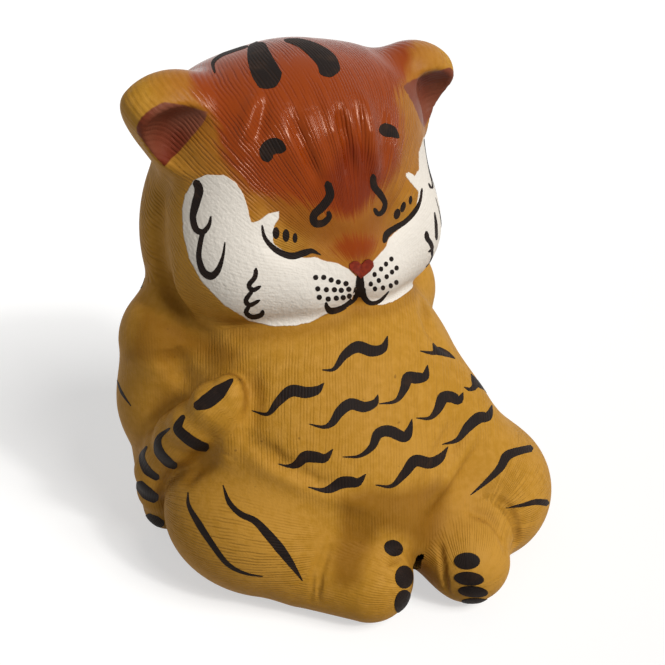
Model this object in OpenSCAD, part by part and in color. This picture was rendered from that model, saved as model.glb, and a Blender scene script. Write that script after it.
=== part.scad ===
// Sleeping tiger tea pet of fired clay, hand built from separate pieces stuck together with slip.
// Millimetres, +Z up. The tiger faces -Y, and its right side is -X.
// The origin lies on the table under the vent hole of the base.

/* [Body] */
// Width across the belly
belly_w = 56; // [50:0.5:62]
// Length of the belly along its slope, from chest to crotch
belly_l = 66; // [58:0.5:74]
// Thickness of the belly square to its slope
belly_t = 46; // [40:0.5:52]
// Slope of the belly
belly_slope = 45; // [35:1:55]
// Width across the back
back_w = 46; // [40:0.5:52]
// Depth of the back, front to rear
back_d = 36; // [30:0.5:42]
// Height of the back
back_h = 56; // [50:0.5:62]
// Width of the seat
seat_w = 46; // [40:0.5:52]
// Depth of the seat, front to rear
seat_d = 46; // [40:0.5:52]
// Height of the seat's rounded mass
seat_h = 28; // [24:0.5:32]
// Width of the swell of the belly over the left hip
swell_w = 17; // [15:0.5:19]
// Depth of the swell, front to rear
swell_d = 22; // [19:0.5:25]
// Height of the swell
swell_h = 20; // [17:0.5:23]
// Thickness of the clay wall of the body and head
wall = 4; // [3:0.25:5]

/* [Base] */
// Diameter of the base disc
base_d = 30; // [24:0.5:32]
// Thickness of the base disc
base_t = 4; // [3:0.25:5]
// Diameter of the vent hole
vent_d = 7; // [4:0.5:12]

/* [Head] */
// Width of the skull
head_w = 48.5; // [44:0.5:52]
// Depth of the skull, front to rear
head_d = 40; // [36:0.5:44]
// Height of the skull
head_h = 41; // [37:0.5:45]
// Height of the skull's middle above the top of the back
head_rise = 10; // [8:0.5:14]
// Width of each brow
brow_w = 21; // [18:0.5:24]
// Depth of each brow, front to rear
brow_d = 26; // [22:0.5:30]
// Height of each brow
brow_h = 22; // [19:0.5:24]
// Sideways reach of each brow's middle from the middle of the face
brow_reach = 12.5; // [11:0.25:14]
// Width of each cheek
cheek_w = 24; // [20:0.5:27]
// Depth of each cheek, front to rear
cheek_d = 27; // [23:0.5:30]
// Height of each cheek
cheek_h = 25; // [21:0.5:28]
// Sideways reach of each cheek's middle from the middle of the face
cheek_reach = 13.5; // [11:0.25:16]
// Width of the nape
nape_w = 53; // [48:0.5:57]
// Depth of the nape, front to rear
nape_d = 34; // [30:0.5:38]
// Height of the nape
nape_h = 50; // [44:0.5:53]
// Width of the bridge of the nose
bridge_w = 9; // [7:0.5:12]
// Depth of the bridge of the nose, front to rear
bridge_d = 13; // [11:0.5:15]
// Height of the bridge of the nose
bridge_h = 14; // [12:0.5:16]

/* [Face] */
// Width of each whisker pad
muzzle_w = 14; // [11:0.5:16]
// Height of each whisker pad
muzzle_h = 12; // [10:0.5:14]
// How far each whisker pad stands out of the face
muzzle_stand = 6.6; // [5.5:0.2:8]
// Width of the nose
nose_w = 5; // [4:0.25:7]
// Height of the nose
nose_h = 4.5; // [3.5:0.25:6]

/* [Ears] */
// Width of each ear
ear_w = 20.5; // [17:0.5:22.5]
// Depth of each ear, front to rear
ear_d = 14; // [12:0.5:16]
// Height of each ear
ear_h = 17.5; // [15:0.5:20]
// Width of the hollow of each ear
ear_hollow_w = 16; // [13:0.5:18]
// Height of the hollow of each ear
ear_hollow_h = 13.5; // [11:0.5:15.5]

/* [Arms] */
// Diameter of each arm at the shoulder
shoulder_d = 22; // [20:0.5:24]
// Diameter of each arm at the elbow
elbow_d = 20; // [18:0.5:22]
// Diameter of each arm at the hand
hand_d = 16; // [14:0.5:18]

/* [Legs] */
// Width of each thigh
thigh_w = 28.5; // [26:0.5:31]
// Length of each thigh
thigh_l = 35.5; // [32:0.5:39]
// Height of each thigh
thigh_h = 27.5; // [25:0.5:31]
// How far back the right hip lies from the left one
hip_stagger = 9; // [6.5:0.5:11]
// How far the right thigh turns its knee inwards
right_knee_turn = 35; // [25:1:45]
// How far the left thigh turns its knee inwards
left_knee_turn = 38; // [28:1:48]
// Diameter of each paw at the ankle
ankle_d = 17.6; // [16:0.2:19]
// Diameter of each paw at the toes
toe_d = 15.4; // [14:0.2:16.6]
// Length of each paw between the middles of ankle and toes
paw_l = 11; // [9:0.5:13]

/* [Tail] */
// Diameter of the tail over most of its length
tail_d = 9; // [8:0.5:11]
// Diameter of the tail's tip
tail_tip_d = 6; // [5:0.5:8]

/* [Neck] */
// Outer diameter of the neck collar
collar_d = 22; // [18:0.5:26]
// Bore of the neck collar
collar_bore_d = 13; // [10:0.5:15]
// Height of the neck collar
collar_h = 12; // [9:0.5:14]

/* [Fit] */
// Thickness of the slip in the joints between pieces
slip = 0.15; // [0.1:0.05:0.3]
// Clearance around the base disc and the neck collar
seat_gap = 0.2; // [0.1:0.05:0.4]

/* [Hidden] */

// Colours of the painted clay
ochre = "#B07F32";
ochre_dark = "#96682A";
rust = "#8C3A10";
white_slip = "#E8E4DC";
bare_clay = "#C29A5E";
nose_red = "#7A2410";

// Where the middles of the body's masses lie
seat_z = 8;
seat_set = 2;
back_set = 7;
belly_set = 12;
belly_rise = 21;
swell_reach = 18.2;
swell_set = 12;
swell_drop = 4;
seat_c = [0, seat_set, seat_z];
back_c = seat_c + [0, back_set, back_h / 2];
belly_c = seat_c + [0, -belly_set, belly_rise];
swell_c = belly_c + [swell_reach, -swell_set, -swell_drop];
back_top = back_c.z + back_h / 2;

// Where the middles of the head's masses lie
head_set = 8;
brow_rise = 6.2;
cheek_set = 6;
cheek_drop = 13.5;
nape_set = 7;
nape_drop = 12;
bridge_sink = 5;
bridge_drop = 11;
muzzle_reach = 5;
muzzle_sink = 4.5;
muzzle_drop = 17.8;
nose_sink = 0.6;
nose_drop = 2.2;
head_c = [0, back_c.y - head_set, back_top + head_rise];
brow_c = head_c + [brow_reach, 0, brow_rise];
cheek_c = head_c + [cheek_reach, -cheek_set, -cheek_drop];
nape_c = head_c + [0, nape_set, -nape_drop];
bridge_c = head_c + [0, bridge_sink - head_d / 2, -bridge_drop];
muzzle_c = head_c + [muzzle_reach, muzzle_sink - head_d / 2, -muzzle_drop];
nose_c = muzzle_c + [-muzzle_reach, nose_sink - muzzle_stand, muzzle_h / 2 - nose_drop];

// Where the middles of the left ear and of its hollow lie
ear_inset = 0.6;
ear_set = 2.5;
ear_rise = 9.4;
ear_trim = 6;
ear_trim_angle = 30;
hollow_out = 1.6;
hollow_set = 9;
hollow_drop = 2;
ear_c = head_c + [head_w / 2 - ear_inset, -ear_set, ear_rise];
ear_hollow_c = ear_c + [hollow_out, -hollow_set, -hollow_drop];

// Where the middles of the joints of the legs lie; each paw points inwards
hip_set = 17;
left_hip_inset = 3;
right_hip_inset = 9.5;
left_hip_sink = 3.4;
left_ankle_in = 8.2;
left_ankle_set = 7;
right_ankle_in = 4.5;
right_ankle_set = 10;
toes_drop = (ankle_d - toe_d) / 2;
left_hip = [belly_w / 2 - left_hip_inset, belly_c.y - hip_set, thigh_h / 2 - left_hip_sink];
right_hip = [right_hip_inset - belly_w / 2, left_hip.y + hip_stagger, thigh_h / 2];
left_ankle = [left_hip.x - left_ankle_in, left_hip.y - left_ankle_set, ankle_d / 2];
right_ankle = [right_hip.x + right_ankle_in, right_hip.y - right_ankle_set, ankle_d / 2];
left_toes = left_ankle + [-0.62 * paw_l, -0.78 * paw_l, -toes_drop];
right_toes = right_ankle + [0.62 * paw_l, -0.78 * paw_l, -toes_drop];

// Where the middles of the joints of the left arm lie
shoulder_inset = 1.4;
shoulder_set = 4.5;
shoulder_rise = 7.5;
elbow_out = 1.3;
elbow_set = 2.5;
elbow_drop = 16.5;
hand_in = 3.9;
hand_set = 8;
hand_drop = 19;
shoulder_c = back_c + [back_w / 2 - shoulder_inset, -shoulder_set, shoulder_rise];
elbow_c = shoulder_c + [elbow_out, elbow_set, -elbow_drop];
hand_c = elbow_c + [-hand_in, hand_set, -hand_drop];

// Turn about the body's middle, share of the back's height and lift off the clay of the left arm's line
arm_route = [[10, 0.8, 1.4], [13, 0.64, 1.4], [17, 0.46, 1.4], [26, 0.3, 1.4], [38, 0.14, 1.4]];
// The same for the tail, from root to tip
tail_route = [[170, 0.114, 4.1], [174.4, 0.214, 3.3], [180, 0.321, 1.9], [187, 0.429, 1.4],
              [196.4, 0.518, 1.1], [205.2, 0.607, 1], [212, 0.679, 1], [216.3, 0.725, 1]];

// Radii within which the joints between masses are smoothed
soft_belly = 10;
soft_seat = 6;
soft_swell = 6;
soft_brow = 5;
soft_cheek = 8;
soft_nape = 5;
soft_bridge = 7;
soft_elbow = 6;
soft_ear = 3;
soft_left_hip = 10;
soft_right_hip = 4;

// Numbers of columns and rings on the rounded pieces
shell_columns = 24;
shell_rings = 18;
limb_columns = 24;
limb_rings = 8;
seat_rings = 6;
coil_sides = 20;
arm_rings = 14;
tail_rings = 20;

// Distance from p to an ellipsoid with middle c and radii r
function egg(p, c, r) =
    let (q = [(p.x - c.x) / r.x, (p.y - c.y) / r.y, (p.z - c.z) / r.z],
         k = norm([q.x / r.x, q.y / r.y, q.z / r.z]))
    k < 1e-6 ? -min(r) : norm(q) * (norm(q) - 1) / k;

// The point p turned about the X axis through c
function pitched(p, c, angle) =
    let (d = p - c) c + [d.x, d.y * cos(angle) + d.z * sin(angle), d.z * cos(angle) - d.y * sin(angle)];

// The point p turned about the vertical line through c
function yawed(p, c, angle) =
    let (d = p - c) c + [d.x * cos(angle) + d.y * sin(angle), d.y * cos(angle) - d.x * sin(angle), d.z];

// Distance from p to a round bar from a to b with radii ra and rb
function bar(p, a, b, ra, rb) =
    let (t = max(0, min(1, (p - a) * (b - a) / ((b - a) * (b - a)))))
    norm(p - a - t * (b - a)) - ra - t * (rb - ra);

// Smallest of two distances, rounded where they are nearly equal
function soft_min(a, b, k) = let (h = max(k - abs(a - b), 0) / k) min(a, b) - h * h * k / 4;

function soft_max(a, b, k) = -soft_min(-a, -b, k);

// The point p brought to the left side
function left_side(p) = [abs(p.x), p.y, p.z];

// Distances to the outsides of the pieces, negative inside
function body_at(p) =
    let (belly = egg(pitched(p, belly_c, belly_slope), belly_c, [belly_w, belly_l, belly_t] / 2),
         back = egg(p, back_c, [back_w, back_d, back_h] / 2),
         seat = egg(p, seat_c, [seat_w, seat_d, seat_h] / 2),
         swell = egg(p, swell_c, [swell_w, swell_d, swell_h] / 2))
    soft_min(soft_min(soft_min(belly, back, soft_belly), seat, soft_seat), swell, soft_swell);

function head_at(p) =
    let (q = left_side(p),
         dome = egg(p, head_c, [head_w, head_d, head_h] / 2),
         skull = soft_min(dome, egg(q, brow_c, [brow_w, brow_d, brow_h] / 2), soft_brow),
         cheek = egg(q, cheek_c, [cheek_w, cheek_d, cheek_h] / 2),
         bridge = egg(p, bridge_c, [bridge_w, bridge_d, bridge_h] / 2),
         nape = egg(p, nape_c, [nape_w, nape_d, nape_h] / 2))
    soft_min(soft_min(soft_min(skull, cheek, soft_cheek), bridge, soft_bridge), nape, soft_nape);

function muzzle_at(p) = egg(p, muzzle_c, [muzzle_w / 2, muzzle_stand, muzzle_h / 2]);

function nose_at(p) =
    let (q = left_side(p), lobe = nose_w * 0.28)
    soft_min(norm(q - nose_c - [nose_w / 2 - lobe, 0, nose_h / 2 - lobe]) - lobe,
             bar(p, nose_c + [0, 0, lobe / 2], nose_c + [0, 0, lobe / 2 - nose_h / 2], lobe, lobe / 2), lobe);

// The outer side of each ear is pressed nearly flat
function ear_at(p) =
    soft_max(egg(p, ear_c, [ear_w, ear_d, ear_h] / 2),
             (p - ear_c) * [cos(ear_trim_angle), 0, -sin(ear_trim_angle)] - ear_trim, soft_ear);

function ear_hollow_at(p) = egg(p, ear_hollow_c, [ear_hollow_w, ear_hollow_w, ear_hollow_h] / 2);

// Distance to the left arm
function arm_at(p) =
    soft_min(bar(p, shoulder_c, elbow_c, shoulder_d / 2, elbow_d / 2),
             bar(p, elbow_c, hand_c, elbow_d / 2, hand_d / 2), soft_elbow);

// Distance to a coil with its middles on path
function coil_at(p, path, radii) =
    min([for (i = [0 : len(path) - 2]) bar(p, path[i], path[i + 1], radii[i], radii[i + 1])]);

// Distance to a thigh whose clay is smeared onto the body around it
function thigh_at(p, hip, knee_turn, soft) =
    soft_min(egg(yawed(p, hip, knee_turn), hip, [thigh_w, thigh_l, thigh_h] / 2), body_at(p), soft);

function right_thigh_at(p) = thigh_at(p, right_hip, right_knee_turn, soft_right_hip);

function left_thigh_at(p) = thigh_at(p, left_hip, -left_knee_turn, soft_left_hip);

function paw_at(p, ankle, toes) = bar(p, ankle, toes, ankle_d / 2, toe_d / 2);

// How far from c along d the solid f reaches, when it holds c and not c + far * d
function reach(f, c, d, far, near = 0, steps = 13) =
    steps == 0 ? (near + far) / 2
    : let (mid = (near + far) / 2)
      f(c + mid * d) < 0 ? reach(f, c, d, far, mid, steps - 1) : reach(f, c, d, mid, near, steps - 1);

// Point at u from 0 to 1 along a smooth curve through the points of path
function along(path, u) =
    let (n = len(path) - 1, i = min(floor(u * n), n - 1), t = u * n - i,
         a = path[max(i - 1, 0)], b = path[i], c = path[i + 1], d = path[min(i + 2, n)])
    b + t * (c - a) / 2 + t * t * (a - 2.5 * b + 2 * c - d / 2) + t * t * t * (1.5 * (b - c) + (d - a) / 2);

// Smooth curve in n steps through the points above the solid f that route gives
function laid(f, route, n) =
    let (stops = [for (s = route)
             let (out = [cos(s[0]), sin(s[0]), 0], start = [0, 0, s[1] * back_h] + body_far * out)
             start - reach(function (p) s[2] - f(p), start, -out, body_far) * out])
    [for (i = [0 : n]) along(stops, i / n)];

// Direction of a column turned by turn from +X and raised by rise
function aim(turn, rise) = [cos(turn) * cos(rise), sin(turn) * cos(rise), sin(rise)];

// Two triangles of the grid cell at row i and column j, with w points in a row
function cell(i, j, w, base = 0) =
    let (a = base + i * w + j, b = a + 1, c = a + w, d = c + 1) [[a, b, d], [a, d, c]];

function flipped(faces) = [for (f = faces) [f[0], f[2], f[1]]];

// Solid f, pressed on where stop turns negative; it is seen whole from c, and faces out along w
module stuck(f, stop, c, w, far, columns = limb_columns) {
    up = w / norm(w);
    across = cross([0, 0, 1], up) / norm(cross([0, 0, 1], up));
    solid = function (p) max(f(p), slip - stop(p));
    function toward(turn, rise) =
        cos(rise) * (cos(turn) * across + sin(turn) * cross(up, across)) + sin(rise) * up;
    function skin(g, d) = c + reach(g, c, d / norm(d), far) * d / norm(d);
    function edge(turn, low = -89, high = 89, steps = 12) =
        steps == 0 ? high
        : let (mid = (low + high) / 2, held = stop(skin(f, toward(turn, mid))) < 0)
          held ? edge(turn, mid, high, steps - 1) : edge(turn, low, mid, steps - 1);
    turns = [for (j = [0 : columns - 1]) 360 * j / columns];
    edges = [for (a = turns) edge(a)];
    rim = [for (j = [0 : columns - 1]) skin(f, toward(turns[j], edges[j]))];
    foot = skin(solid, -up);
    rings = [for (i = [1 : limb_rings - 1]) [for (j = [0 : columns - 1])
                 skin(solid, toward(turns[j], 90 - (90 - edges[j]) * i / limb_rings))],
             rim,
             for (i = [1 : seat_rings - 1])
                 [for (p = rim) skin(solid, p + (foot - p) * pow(i / seat_rings, 2) - c)]];
    n = len(rings) * columns;
    function at(i, j) = i * columns + j % columns;
    sides = [for (i = [0 : len(rings) - 2], j = [0 : columns - 1])
        each [[at(i, j), at(i, j + 1), at(i + 1, j + 1)], [at(i, j), at(i + 1, j + 1), at(i + 1, j)]]];
    ends = [for (j = [0 : columns - 1])
        each [[n, at(0, j + 1), at(0, j)], [n + 1, at(len(rings) - 1, j), at(len(rings) - 1, j + 1)]]];
    polyhedron([each [for (r = rings) each r], skin(solid, up), foot], concat(sides, ends));
}

// Long solid f around path, no thicker than far, pressed on where stop turns negative and on the table
module coil(f, path, far, stop) {
    n = len(path) - 1;
    solid = function (p) max(f(p), slip - stop(p), -p.z);
    function ahead(i) = let (d = path[min(i + 1, n)] - path[max(i - 1, 0)]) d / norm(d);
    function skin(i, d) = path[i] + d * reach(solid, path[i], d, far);
    function ring(i, tilt) =
        let (w = ahead(i), across = cross(w, [path[i].x, path[i].y, 0]),
             u = across / norm(across), v = cross(u, w))
        [for (j = [0 : coil_sides - 1])
            let (turn = 360 * j / coil_sides)
            skin(i, cos(tilt) * (cos(turn) * u + sin(turn) * v) + sin(tilt) * w)];
    rings = [ring(0, -60), ring(0, -30), for (i = [0 : n]) ring(i, 0), ring(n, 30), ring(n, 60)];
    m = len(rings) * coil_sides;
    function at(i, j) = i * coil_sides + j % coil_sides;
    sides = [for (i = [0 : len(rings) - 2], j = [0 : coil_sides - 1])
        each [[at(i, j), at(i + 1, j + 1), at(i, j + 1)], [at(i, j), at(i + 1, j), at(i + 1, j + 1)]]];
    ends = [for (j = [0 : coil_sides - 1])
        each [[m, at(0, j), at(0, j + 1)], [m + 1, at(len(rings) - 1, j + 1), at(len(rings) - 1, j)]]];
    polyhedron([each [for (r = rings) each r], skin(0, -ahead(0)), skin(n, ahead(n))], concat(sides, ends));
}

// Closed wall between an outer and an inner grid of points, with rows that run up and columns that
// run round; where closed, both grids are covered over at their last row
module walled(outer, inner, closed) {
    m = len(outer) - 1;
    w = len(outer[0]);
    n = (m + 1) * w;
    points = concat([for (row = outer) each row], [for (row = inner) each row]);
    skins = concat(flipped([for (i = [0 : m - 1], j = [0 : w - 2]) each cell(i, j, w)]),
                   [for (i = [0 : m - 1], j = [0 : w - 2]) each cell(i, j, w, n)]);
    rims = concat([for (j = [0 : w - 2]) each [[j, j + 1, n + j + 1], [j, n + j + 1, n + j]]],
        closed ? [] : [for (j = [0 : w - 2]) let (a = m * w + j, b = n + a)
            each [[a, b + 1, a + 1], [a, b, b + 1]]]);
    edges = [for (i = [0 : m - 1]) let (a = i * w, b = a + w - 1)
        each [[a, n + a, n + a + w], [a, n + a + w, a + w],
              [b, n + b + w, n + b], [b, b + w, n + b + w]]];
    top = m * w;
    covers = !closed ? [] : concat(
        [for (j = [1 : w - 2]) each [[top, top + j + 1, top + j], [n + top, n + top + j, n + top + j + 1]]],
        [[top, n + top, n + top + w - 1], [top, n + top + w - 1, top + w - 1]]);
    polyhedron(points, concat(skins, rims, edges, covers));
}

// Middle from which the body's wall is drawn, and the middle of the neck's hole further back
body_drop = 8;
neck_set = 5;
body_c = [0, 0, back_c.z - body_drop];
neck_c = body_c + [0, neck_set, 0];
neck_r = collar_d / 2 + seat_gap;
floor_r = base_d / 2 + seat_gap;
body_far = 2 * back_h;

// A half of the body's wall, from turn to turn + 180
module body_half(turn) {
    solid = function (p) max(body_at(p), -p.z);
    hollow = function (p) max(body_at(p) + wall, base_t - p.z);
    lowest = -atan2(body_c.z, floor_r);
    highest = 62;
    turns = [for (j = [0 : shell_columns]) turn + 180 * j / shell_columns];
    function ring(f, i) = [for (a = turns)
        let (d = aim(a, lowest + (highest - lowest) * i / shell_rings))
        body_c + reach(f, body_c, d, body_far) * d];
    function hole(r, z) = [for (a = turns) [body_c.x + r * cos(a), body_c.y + r * sin(a), z]];
    function neck(f) = [for (a = turns)
        let (c = neck_c + neck_r * [cos(a), sin(a), 0]) c + [0, 0, reach(f, c, [0, 0, 1], body_far)]];
    walled([hole(floor_r, 0), for (i = [1 : shell_rings - 1]) ring(solid, i), neck(solid)],
           [hole(floor_r, base_t), for (i = [1 : shell_rings - 1]) ring(hollow, i), neck(hollow)], false);
}

module body_front() { color(ochre) body_half(180); }

module body_back() { color(ochre_dark) body_half(0); }

module base_disc() {
    color(bare_clay) translate([body_c.x, body_c.y, 0]) difference() {
        cylinder(h = base_t, d = base_d, $fn = 96);
        translate([0, 0, -1]) cylinder(h = base_t + 2, d = vent_d, $fn = 48);
    }
}

// Height of the body's outside at the edge of the neck's hole, where it is lowest
neck_low = min([for (a = [0 : 15 : 345])
    neck_c.z + reach(function (p) body_at(p), neck_c + neck_r * [cos(a), sin(a), 0], [0, 0, 1], body_far)]);

module neck_collar() {
    color(bare_clay) translate([neck_c.x, neck_c.y, neck_low - wall]) difference() {
        cylinder(h = collar_h, d = collar_d, $fn = 96);
        translate([0, 0, -1]) cylinder(h = collar_h + 2, d = collar_bore_d, $fn = 64);
    }
}

// Middle from which the head's wall is drawn
skull_set = 1;
skull_drop = 3;
skull_c = head_c + [0, skull_set, -skull_drop];
head_far = 2 * head_h;

// A half of the head's wall, from turn to turn + 180, which stands on the body
module head_half(turn) {
    solid = function (p) head_at(p);
    hollow = function (p) head_at(p) + wall;
    highest = 80;
    function skin(f, a, rise) =
        let (d = aim(a, rise)) skull_c + reach(f, skull_c, d, head_far) * d;
    function rim(f, a, low = -85, high = 20, steps = 12) =
        steps == 0 ? high
        : let (mid = (low + high) / 2)
          body_at(skin(f, a, mid)) < slip ? rim(f, a, mid, high, steps - 1) : rim(f, a, low, mid, steps - 1);
    turns = [for (j = [0 : shell_columns]) turn + 180 * j / shell_columns];
    function rows(f) =
        let (rims = [for (a = turns) rim(f, a)])
        [for (i = [0 : shell_rings]) [for (j = [0 : shell_columns])
            skin(f, turns[j], rims[j] + (highest - rims[j]) * i / shell_rings)]];
    walled(rows(solid), rows(hollow), true);
}

module head_front() { color(rust) head_half(180); }

module head_back() { color(ochre) head_half(0); }

// Pieces stuck on the outside, each cut back to the larger pieces that it sits on and to the table
module left_ear() {
    color(ochre) stuck(function (p) ear_at(p), function (p) min(head_at(p) - slip, ear_hollow_at(p)),
        ear_c + [ear_w * 0.13, ear_d * 0.21, ear_h * 0.12], [0.75, 0.6, 0.35], ear_w, 32);
}

module right_ear() { mirror([1, 0, 0]) left_ear(); }

module left_arm() {
    color(ochre) coil(function (p) arm_at(p),
        laid(function (p) min(body_at(p), head_at(p)), arm_route, arm_rings), shoulder_d,
        function (p) min(body_at(p), head_at(p)));
}

module right_arm() { mirror([1, 0, 0]) left_arm(); }

module left_thigh() {
    color(ochre) stuck(function (p) left_thigh_at(p), function (p) min(body_at(p) - slip, p.z),
        left_hip + [thigh_w * 0.18, -thigh_l * 0.11, 0], [1, -0.5, 0.2], thigh_l, 32);
}

module right_thigh() {
    color(ochre) stuck(function (p) right_thigh_at(p),
        function (p) min(body_at(p) - slip, arm_at(left_side(p)) - slip, p.z),
        right_hip - [thigh_w * 0.32, thigh_l * 0.21, 0], [-1, -0.7, 0.2], thigh_l, 32);
}

module left_paw() {
    color(ochre) stuck(function (p) paw_at(p, left_ankle, left_toes),
        function (p) min(body_at(p) - slip, left_thigh_at(p) - slip, p.z),
        left_toes, left_toes - left_ankle, thigh_l);
}

module right_paw() {
    color(ochre) stuck(function (p) paw_at(p, right_ankle, right_toes),
        function (p) min(body_at(p) - slip, right_thigh_at(p) - slip, p.z),
        right_toes, right_toes - right_ankle, thigh_l);
}

module left_muzzle() {
    color(white_slip) stuck(function (p) muzzle_at(p),
        function (p) min(head_at(p) - slip, body_at(p) - slip, p.x - slip / 2),
        muzzle_c + [muzzle_w * 0.07, -muzzle_stand * 0.7, 0], [0.2, -1, 0], muzzle_w, 18);
}

module right_muzzle() { mirror([1, 0, 0]) left_muzzle(); }

module nose() {
    color(nose_red) stuck(function (p) nose_at(p),
        function (p) min(muzzle_at(left_side(p)), head_at(p)) - slip,
        nose_c + [0, -nose_h * 0.13, nose_h * 0.09], [0, -1, 0], nose_h, 18);
}

// The tail lies on the body, the thigh and the arm
function flank_at(p) = min(body_at(p), right_thigh_at(p), arm_at(left_side(p)));

tail_path = laid(function (p) flank_at(p), tail_route, tail_rings);
tail_radii = [for (i = [0 : tail_rings]) (tail_d + (tail_tip_d - tail_d) * pow(i / tail_rings, 3)) / 2];

module tail() {
    color(ochre) coil(function (p) coil_at(p, tail_path, tail_radii), tail_path, 2 * tail_d,
        function (p) flank_at(p));
}

body_front();
body_back();
base_disc();
neck_collar();
head_front();
head_back();
right_ear();
left_ear();
right_arm();
left_arm();
right_thigh();
left_thigh();
right_paw();
left_paw();
tail();
nose();
right_muzzle();
left_muzzle();
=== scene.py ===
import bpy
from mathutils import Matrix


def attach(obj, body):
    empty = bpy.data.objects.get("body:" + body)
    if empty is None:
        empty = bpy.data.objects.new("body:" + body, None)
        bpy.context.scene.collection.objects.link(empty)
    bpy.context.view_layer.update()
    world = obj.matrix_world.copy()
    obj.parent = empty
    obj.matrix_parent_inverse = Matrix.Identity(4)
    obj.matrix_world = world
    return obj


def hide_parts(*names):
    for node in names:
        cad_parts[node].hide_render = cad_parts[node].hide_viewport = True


bl_info = {
    "name": "Clay tea pet",
    "version": (1, 0, 0),
    "blender": (4, 5, 0),
    "location": "View3D > Sidebar > Tea pet",
    "description": "A sleeping tiger of hand built, combed and slip painted clay",
    "category": "Object",
}

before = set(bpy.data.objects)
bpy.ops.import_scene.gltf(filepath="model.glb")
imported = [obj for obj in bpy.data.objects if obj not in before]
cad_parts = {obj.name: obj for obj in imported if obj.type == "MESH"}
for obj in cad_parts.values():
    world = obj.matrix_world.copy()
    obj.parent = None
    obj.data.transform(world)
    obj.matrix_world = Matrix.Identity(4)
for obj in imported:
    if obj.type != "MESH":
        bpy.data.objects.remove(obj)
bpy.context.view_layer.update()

import math

import bpy
import numpy as np
from mathutils import Matrix

MM = 0.001

# The photograph's frame and the camera that took it, in pixels, degrees and millimetres
PHOTO_SIZE = 665.0
PHOTO_FOCAL = 1100.0
CAMERA_TURN = -32.0
CAMERA_RISE = 25.5
CAMERA_AWAY = 198.0
CAMERA_AIM = np.array([-1.0, -14.5, 45.0])

# Where the lamps stand, as a turn from the front and a rise, and how wide they look, in degrees
KEY_TURN = 17.0
KEY_RISE = 43.0
KEY_SPREAD = 30.0
GLINT_TURN = 15.0
GLINT_RISE = 37.0
GLINT_SPREAD = 6.0


def direction(turn, rise):
    """Direction from the object to a place seen at a turn from the front and a rise, in degrees."""
    a, e = math.radians(turn), math.radians(rise)
    return np.array([math.sin(a) * math.cos(e), -math.cos(a) * math.cos(e), math.sin(e)])


BACKWARD = direction(CAMERA_TURN, CAMERA_RISE)
RIGHTWARD = np.array([math.cos(math.radians(CAMERA_TURN)), math.sin(math.radians(CAMERA_TURN)), 0.0])
UPWARD = np.cross(BACKWARD, RIGHTWARD)
EYE = CAMERA_AIM + CAMERA_AWAY * BACKWARD


def seen_at(points):
    """Pixels of the photograph at which points in millimetres are seen."""
    v = points - EYE
    depth = -(v @ BACKWARD)
    x = PHOTO_SIZE / 2 + PHOTO_FOCAL * (v @ RIGHTWARD) / depth
    y = PHOTO_SIZE / 2 - PHOTO_FOCAL * (v @ UPWARD) / depth
    return np.stack([x, y], -1)


def sight_lines(pixels):
    """Starts and directions of the lines of sight through pixels of the photograph."""
    px = np.asarray(pixels, float) - PHOTO_SIZE / 2
    d = px[:, :1] * RIGHTWARD - px[:, 1:] * UPWARD - PHOTO_FOCAL * BACKWARD
    return np.broadcast_to(EYE, d.shape), d / np.linalg.norm(d, axis=1, keepdims=True)


# Shapes of the clay masses, as distances in millimetres that are negative inside
def egg(p, middle, radii, turn=0.0, slope=0.0):
    """Distance to an ellipsoid turned about the vertical and sloped about the sideways axis."""
    q = p - np.array(middle, float)
    if turn:
        c, s = math.cos(math.radians(turn)), math.sin(math.radians(turn))
        q = np.stack([c * q[:, 0] + s * q[:, 1], c * q[:, 1] - s * q[:, 0], q[:, 2]], 1)
    if slope:
        c, s = math.cos(math.radians(slope)), math.sin(math.radians(slope))
        q = np.stack([q[:, 0], c * q[:, 1] + s * q[:, 2], c * q[:, 2] - s * q[:, 1]], 1)
    q = q / np.array(radii, float)
    reach = np.linalg.norm(q, axis=1)
    spread = np.linalg.norm(q / np.array(radii, float), axis=1) + 1e-9
    return reach * (reach - 1) / spread


def bar(p, a, b, ra, rb):
    """Distance to a round bar from a to b that tapers from radius ra to rb."""
    a, b = np.array(a, float), np.array(b, float)
    t = np.clip((p - a) @ (b - a) / ((b - a) @ (b - a)), 0, 1)
    return np.linalg.norm(p - a - t[:, None] * (b - a), axis=1) - ra - t * (rb - ra)


def coil(p, path, radii, soft):
    """Distance to a coil of bars through the points of path."""
    d = bar(p, path[0], path[1], radii[0], radii[1])
    for i in range(1, len(path) - 1):
        d = soft_min(d, bar(p, path[i], path[i + 1], radii[i], radii[i + 1]), soft)
    return d


def soft_min(a, b, k):
    h = np.maximum(k - np.abs(a - b), 0) / k
    return np.minimum(a, b) - h * h * k / 4


def soft_max(a, b, k):
    return -soft_min(-a, -b, k)


def on_right(p):
    """The points p with those of the left side mirrored to the right one."""
    return p * np.array([1.0, 1.0, 1.0]) * np.where(p[:, :1] > 0, [-1.0, 1.0, 1.0], [1.0, 1.0, 1.0])


def body_at(p):
    belly = egg(p, (0, -10, 29), (27.7, 33, 23), slope=45)
    back = egg(p, (0, 9, 36), (23, 18, 28))
    seat = egg(p, (0, 2, 8), (23, 23, 14))
    crotch = egg(p, (-2.6, -35.8, 17.2), (4.6, 4.2, 5.2))
    flank = egg(p, (18.8, -22.4, 24.2), (8.5, 11, 10))
    d = soft_min(soft_min(belly, back, 10), seat, 6)
    return soft_min(soft_min(d, crotch, 4), flank, 6)


def nape_at(p):
    return egg(p, (0, 8, 59.5), (26.3, 17, 28))


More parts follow.
